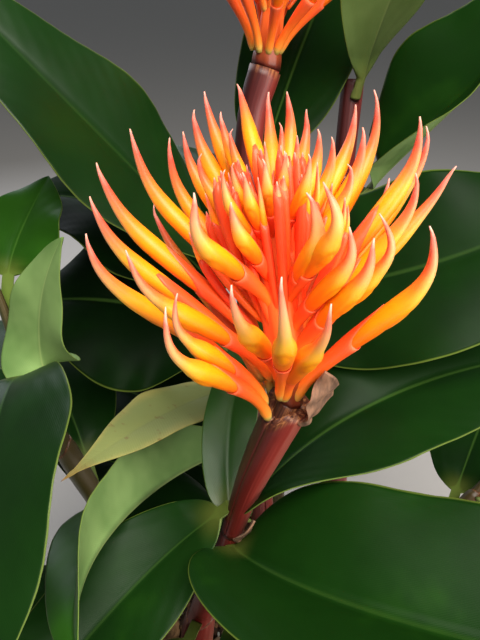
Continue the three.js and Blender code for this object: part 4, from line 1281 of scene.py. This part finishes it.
# Size is a crumb's longest reach from its middle, and flatness its height against that
crumbs = {
    "bark_chips": {
        "count": 520, "size": 4.2, "flatness": 0.4, "seed": 21, "dark": (52, 34, 24), "light": (118, 84, 58),
        "depth": 0.5,
    },
    "perlite_grains": {
        "count": 130, "size": 2.1, "flatness": 0.8, "seed": 22, "dark": (176, 170, 160),
        "light": (226, 222, 214), "depth": 0.3,
    },
}
rhizome = {
    "centreHeight": 148,
    "knobRadius": 13,
    "linkRadius": 8,
    "linkDrop": 2.0,
    "seat": 158,
    "ringSpacing": 3.2,
    "links": [
        ("main", "second"), ("main", "left"), ("second", "third"), ("second", "back"), ("third", "right"),
    ],
}


def potInside(z):
    # the radius of the pot's inside at a height, on a straight line from its floor to its rim
    low = (pot["footRadius"] - pot["wall"], pot["floor"])
    high = (pot["rimRadius"] - pot["wall"] - 3, pot["height"] - 4)
    return low[0] + (high[0] - low[0]) * (z - low[1]) / (high[1] - low[1])


def revolved(profile, sides, wobble=0.0, seed=1):
    # each point of the profile, radius and height, carried round Z; the wobble is a hand-thrown unevenness
    profile = np.asarray(profile, float)
    angle = np.linspace(0.0, 2 * np.pi, sides, endpoint=False)[None, :]
    radius = profile[:, :1] + 0 * angle
    grid = np.stack([radius * np.cos(angle), radius * np.sin(angle), profile[:, 1:] + 0 * angle], axis=-1)
    if wobble:
        grid[..., :2] *= (1 + wobble * ripple(grid, 90, seed) / np.maximum(radius, 30))[..., None]
    return grid


def roundedProfile(corners, radius, steps=5):
    # each inner corner is swapped for a short curve from one side of it to the other
    p = np.asarray(corners, float)
    out = [p[0]]
    for before, corner, after in zip(p, p[1:], p[2:]):
        a, b = before - corner, after - corner
        reach = min(radius, 0.45 * np.linalg.norm(a), 0.45 * np.linalg.norm(b))
        start, end = corner + unit(a) * reach, corner + unit(b) * reach
        t = np.linspace(0.0, 1.0, steps)[:, None]
        out += list((1 - t) ** 2 * start + 2 * t * (1 - t) * corner + t ** 2 * end)
    return np.array([*out, p[-1]])


def filled(profile, longest):
    # extra points at even steps, so that no stretch of a profile is longer than this
    out = [profile[0]]
    for a, b in zip(profile, profile[1:]):
        count = max(int(np.ceil(np.linalg.norm(b - a) / longest)), 1)
        out += list(a + (b - a) * np.arange(1, count + 1)[:, None] / count)
    return np.array(out)


def potShape():
    # a profile of wall, rim, inside and floor, with rounded corners, carried round the axis
    rimFoot = pot["height"] - pot["rimHeight"]
    rim, foot, wall, height = pot["rimRadius"], pot["footRadius"], pot["wall"], pot["height"]
    corners = [
        [0.5, 0], [foot - 2, 0], [foot, 2], [rim - pot["rimStep"], rimFoot], [rim, rimFoot + 2],
        [rim + 1, height - 3], [rim - 2, height], [rim - wall - 1, height], [rim - wall - 3, height - 4],
        [foot - wall, pot["floor"]], [0.5, pot["floor"]],
    ]
    grid = revolved(filled(roundedProfile(corners, pot["edge"]), 5.0), pot["sides"], pot["wobble"], 5)
    grid[..., 2] = np.clip(grid[..., 2], 0.0, height)
    shape = newShape()
    addTube(shape, grid)
    return shape


def drillPot(piece):
    # the drain holes are round bores through the pot's floor, on a ring round its middle
    drills = []
    angle = np.linspace(0.0, 2 * np.pi, 24, endpoint=False)
    circle = pot["drainRadius"] * np.stack([np.cos(angle), np.sin(angle), 0 * angle], axis=-1)
    for i in range(pot["drains"]):
        turn = (i + 0.5) / pot["drains"] * 2 * math.pi
        centre = pot["drainRing"] * np.array([math.cos(turn), math.sin(turn), 0.0])
        bore = newShape()
        addTube(bore, np.stack([circle + centre - 4 * up, circle + centre + (pot["floor"] + 4) * up]))
        mesh = bpy.data.meshes.new("drill")
        mesh.from_pydata((np.vstack(bore["points"]) * millimetre).tolist(), [], bore["faces"])
        drill = bpy.data.objects.new("drill", mesh)
        bpy.context.scene.collection.objects.link(drill)
        cut = piece.modifiers.new("drain", "BOOLEAN")
        cut.operation, cut.solver, cut.object = "DIFFERENCE", "EXACT", drill
        drills.append(drill)
    bpy.context.view_layer.update()
    piece.data = bpy.data.meshes.new_from_object(piece.evaluated_get(bpy.context.evaluated_depsgraph_get()))
    piece.modifiers.clear()
    for drill in drills:
        bpy.data.objects.remove(drill)


def mixShape():
    # a round body under a domed top that noise makes lumpy
    bottom = pot["floor"] + 0.3
    edge = potInside(mix["top"]) - mix["room"]
    side = filled(np.array([[potInside(bottom) - mix["room"], bottom], [edge, mix["top"] - 3.0]]), 8)
    radii = np.linspace(1.0, 0.015, mix["rings"])
    top = np.stack([edge * radii, mix["top"] + mix["dome"] * (1 - radii ** 2) - 1.5], axis=-1)
    grid = revolved(np.vstack([[[2.0, bottom]], side, top]), mix["sides"])
    rise = ease((grid[..., 2] - mix["top"] + 4) / 3.0)
    inner = ease((edge - np.hypot(grid[..., 0], grid[..., 1])) / 6.0)
    lumps = ripple(grid, 30, 7) + 0.8 * ripple(grid, 7, 8)
    grid[..., 2] += mix["lump"] * rise * (0.4 + 0.6 * inner) * lumps
    shape = newShape()
    addTube(shape, grid)
    return shape, grid


def crumbShape(crumb, top):
    # small lumps on the mix, more of them further out: balls of few faces, squashed, roughened and turned
    random = np.random.default_rng(crumb["seed"])
    shape = newShape()
    angle = np.linspace(0.0, 2 * np.pi, 7, endpoint=False)
    tilt = np.radians([-60, -15, 30, 68])
    ball = np.stack([
        np.cos(tilt)[:, None] * np.cos(angle), np.cos(tilt)[:, None] * np.sin(angle),
        np.sin(tilt)[:, None] + 0 * angle,
    ], axis=-1)
    places = top.reshape(-1, 3)
    near = np.hypot(places[:, 0], places[:, 1]) < mix["crumbReach"]
    places = places[(places[:, 2] > mix["top"] - 3) & near]
    reach = np.hypot(places[:, 0], places[:, 1])
    chance = reach / reach.sum()
    for _ in range(crumb["count"]):
        place = places[random.choice(len(places), p=chance)] + random.normal(size=3) * [1.5, 1.5, 0.2]
        size = crumb["size"] * random.uniform(0.45, 1.0)
        extent = size * np.array([1.0, random.uniform(0.5, 0.9), crumb["flatness"]])
        turn, tip = random.uniform(0, 2 * np.pi), random.uniform(-0.5, 0.5)
        lump = ball * extent * (1 + 0.18 * random.normal(size=ball.shape[:2]))[..., None]
        lump = lump @ np.array([[1, 0, 0], [0, np.cos(tip), np.sin(tip)], [0, -np.sin(tip), np.cos(tip)]])
        spin = np.array([[np.cos(turn), np.sin(turn), 0], [-np.sin(turn), np.cos(turn), 0], [0, 0, 1]])
        addTube(shape, lump @ spin + place, tone=random.uniform(0, 1))
    return shape


def rhizomeShape():
    # a ringed knob under each shoot and ringed links between them, all cut level where the shoots stand
    shape = newShape()
    angle = np.linspace(0.0, 2 * np.pi, 28, endpoint=False)[None, :]
    ceiling = rhizome["seat"] - 0.2
    tilt = np.radians(np.linspace(-80, 80, 24))[:, None]
    for stalk in stalks.values():
        x, y, _ = stalk["path"][0]
        size = rhizome["knobRadius"] * (1 + 0.03 * np.cos(9 * tilt)) + 0 * angle
        grid = np.stack([
            x + size * np.cos(tilt) * np.cos(angle), y + size * np.cos(tilt) * np.sin(angle),
            rhizome["centreHeight"] + size * np.sin(tilt),
        ], axis=-1)
        grid[..., 2] = np.minimum(grid[..., 2], ceiling)
        addTube(shape, grid)
    for ends in rhizome["links"]:
        height = rhizome["centreHeight"] - rhizome["linkDrop"]
        a, b = (np.array([*stalks[name]["path"][0][:2], height]) for name in ends)
        share = np.linspace(0.0, 1.0, 40)
        centre = a + (b - a) * share[:, None]
        ringed = np.abs(np.cos(share * np.linalg.norm(b - a) / rhizome["ringSpacing"]))
        size = rhizome["linkRadius"] * (0.96 + 0.05 * ringed)[:, None] + 0 * angle
        direction = np.broadcast_to(unit(b - a), centre.shape)
        grid = ringGrid(centre[:, None], direction[:, None], up, size, angle + 0 * size)
        grid[..., 2] = np.minimum(grid[..., 2], ceiling)
        addTube(shape, grid)
    return shape


# Terracotta is orange-brown clay in soft patches, with darker specks, a pale bloom and fine turning rings
terracottaFinish = {
    "clay": (168, 92, 58),
    "lightClay": (190, 112, 74),
    "speck": (140, 74, 48),
    "bloom": (214, 190, 168),
    "strength": 0.35,
    "patchSize": 60,
    "speckSize": 6,
    "ringSize": 40,
    "ringScale": (0.05, 0.05, 14.0),
    "ringDepth": 0.5,
    "grainSize": 1.2,
    "grainDepth": 0.25,
}
mixFinish = {"dark": (34, 24, 18), "light": (74, 54, 40), "size": 2.2, "depth": 2.0}
rhizomeFinish = {
    "dark": (112, 80, 52),
    "light": (170, 132, 92),
    "ring": (78, 52, 36),
    "ringStrength": 0.6,
    "ringSize": 3.2,
    "ringScale": (0.3, 0.3, 2.0),
    "patchSize": 5,
    "depth": 0.6,
}


def terracottaMaterial():
    finish = terracottaFinish
    material, tree, shader = newMaterial("terracotta", Specular_IOR_Level=0.3)
    cloud = noise(tree, finish["patchSize"])
    fine = noise(tree, finish["speckSize"], 4.0)
    clay, lightClay = display(finish["clay"]), display(finish["lightClay"])
    colour = blend(tree, between(tree, cloud, 0.3, 0.7), clay, lightClay)
    specks = between(tree, fine, 0.5, 0.72, 0.0, finish["strength"])
    colour = blend(tree, specks, colour, display(finish["speck"]))
    pale = calculate(tree, "MULTIPLY_ADD", cloud, 0.6, fine)
    bloom = between(tree, pale, 0.86, 1.05, 0.0, finish["strength"])
    colour = blend(tree, bloom, colour, display(finish["bloom"]))
    feed(tree, shader.inputs["Base Color"], colour)
    feed(tree, shader.inputs["Roughness"], between(tree, fine, 0.3, 0.7, 0.72, 0.9))
    turned = noise(tree, finish["ringSize"], 3.0, 0.5, finish["ringScale"])
    grain = bump(tree, noise(tree, finish["grainSize"], 3.0), finish["grainDepth"], 0.6)
    feed(tree, shader.inputs["Normal"], bump(tree, turned, finish["ringDepth"], 0.5, grain))
    return material


def mixMaterial():
    finish = mixFinish
    material, tree, shader = newMaterial("pottingMix", Roughness=0.95, Specular_IOR_Level=0.2)
    fine = noise(tree, finish["size"], 5.0, 0.7)
    colour = blend(tree, between(tree, fine, 0.35, 0.7), display(finish["dark"]), display(finish["light"]))
    feed(tree, shader.inputs["Base Color"], colour)
    feed(tree, shader.inputs["Normal"], bump(tree, fine, finish["depth"], 0.9))
    return material


def crumbMaterial(name, crumb):
    # each crumb's tone makes it darker or lighter
    material, tree, shader = newMaterial(name, Roughness=0.9, Specular_IOR_Level=0.25)
    fine = noise(tree, 1.4, 4.0)
    own = times(tree, markOf(tree, "tone"), 0.6)
    shade = between(tree, calculate(tree, "MULTIPLY_ADD", fine, 0.5, own), 0.2, 0.9)
    colour = blend(tree, shade, display(crumb["dark"]), display(crumb["light"]))
    feed(tree, shader.inputs["Base Color"], colour)
    feed(tree, shader.inputs["Normal"], bump(tree, fine, crumb["depth"], 0.8))
    return material


def rhizomeMaterial():
    finish = rhizomeFinish
    material, tree, shader = newMaterial("rhizome", Roughness=0.75)
    fine = noise(tree, finish["patchSize"], 5.0, 0.65)
    rings = noise(tree, finish["ringSize"], 2.0, 0.5, finish["ringScale"])
    colour = blend(tree, between(tree, fine, 0.35, 0.65), display(finish["dark"]), display(finish["light"]))
    dark = between(tree, rings, 0.56, 0.7, 0.0, finish["ringStrength"])
    colour = blend(tree, dark, colour, display(finish["ring"]))
    feed(tree, shader.inputs["Base Color"], colour)
    feed(tree, shader.inputs["Normal"], bump(tree, fine, finish["depth"], 0.6))
    return material


# Making the pieces

def makePlant():
    green = leafMaterial()
    old = oldLeafMaterial()
    for index, (name, leaf) in enumerate(leaves.items()):
        material, slot = (old, "old_leaf") if name == "leaf_old" else (green, "leaf")
        makePiece(name + "_blade", leafShape(leaf, index), material, slot, [name])
    print("leaves", len(leaves))
    dry = dryMaterial()
    for index, (name, leaf) in enumerate(scales.items()):
        makePiece(name + "_scale", leafShape(leaf, index), dry, "dry_bract", [name])
    print("dry scales", len(scales))
    maroon = stalkMaterial()
    for index, (name, stalk) in enumerate(stalks.items()):
        shape = stalkShape(stalk)
        addSheaths(shape, stalk, index)
        makePiece(f"stalk_{name}_sheathed", shape, maroon, "stalk", [f"stalk_{name}"])
    print("stalks", len(stalks))
    petals = budMaterial()
    both = {
        "brush_main": (brush, mainBrushBuds(), 11, 13),
        "brush_second": (secondBrush, secondBrushBuds(), 12, 14),
    }
    for node, (form, buds, clawSeed, crownSeed) in both.items():
        place = brushFrame(form)
        makePiece(node + "_claws", clawShape(place, buds, clawSeed), petals, "flower_buds", [node])
        makePiece(node + "_crown", crownShape(place, form["core"], crownSeed), petals, "flower_buds", [node])
    print("brushes", len(both))


def makePot():
    drillPot(makePiece("pot_thrown", potShape(), terracottaMaterial(), "terracotta", ["pot"]))
    shape, top = mixShape()
    makePiece("mix_surface", shape, mixMaterial(), "potting_mix", ["soil"])
    for name, crumb in crumbs.items():
        material = crumbMaterial(name.split("_")[0], crumb)
        makePiece(name, crumbShape(crumb, top), material, "potting_mix", [])
    makePiece("rhizome_knobs", rhizomeShape(), rhizomeMaterial(), "rhizome", ["rhizome"])
    print("pot, mix and rhizome")


# Stage

def aim(item, place, target):
    # a lamp shines along its own negative Z, so it is tipped up from straight down and turned to the target
    item.location = [c * millimetre for c in place]
    way = np.asarray(target, float) - np.asarray(place, float)
    item.rotation_euler = (math.acos(-unit(way)[2]), 0.0, math.atan2(way[1], way[0]) - math.pi / 2)


def makeStage():
    lens = bpy.data.cameras.new("camera")
    lens.lens, lens.sensor_width = camera["lens"], camera["sensor"]
    lens.clip_start, lens.clip_end = camera["nearest"] * millimetre, camera["furthest"] * millimetre
    view = bpy.data.objects.new("camera", lens)
    view.location = [c * millimetre for c in camera["place"]]
    view.rotation_euler = (math.radians(90 - camera["downward"]), 0.0, 0.0)
    bpy.context.scene.collection.objects.link(view)
    bpy.context.scene.camera = view
    bpy.context.scene.view_settings.view_transform = "Standard"
    for name in ("key", "side", "back"):
        lamp = bpy.data.lights.new(name, "AREA")
        lamp.size = light[name]["size"] * millimetre
        lamp.energy = light[name]["power"]
        lamp.color = display(light[name]["colour"])[:3]
        item = bpy.data.objects.new(name + "Light", lamp)
        aim(item, light[name]["place"], light["target"])
        bpy.context.scene.collection.objects.link(item)
    world = bpy.data.worlds.new("sky")
    world.use_nodes = True
    world.node_tree.nodes["Background"].inputs["Color"].default_value = display(light["sky"])
    world.node_tree.nodes["Background"].inputs["Strength"].default_value = light["skyPower"]
    bpy.context.scene.world = world
    reach = light["floorReach"] * millimetre
    corners = [(-reach, -reach, 0), (reach, -reach, 0), (reach, reach, 0), (-reach, reach, 0)]
    mesh = bpy.data.meshes.new("floor")
    mesh.from_pydata(corners, [], [(0, 1, 2, 3)])
    mesh.materials.append(newMaterial("floor", Roughness=0.8, Base_Color=display(light["floor"]))[0])
    floor = bpy.data.objects.new("floor", mesh)
    bpy.context.scene.collection.objects.link(floor)
    print("stage")


makeStage()
makePlant()
makePot()
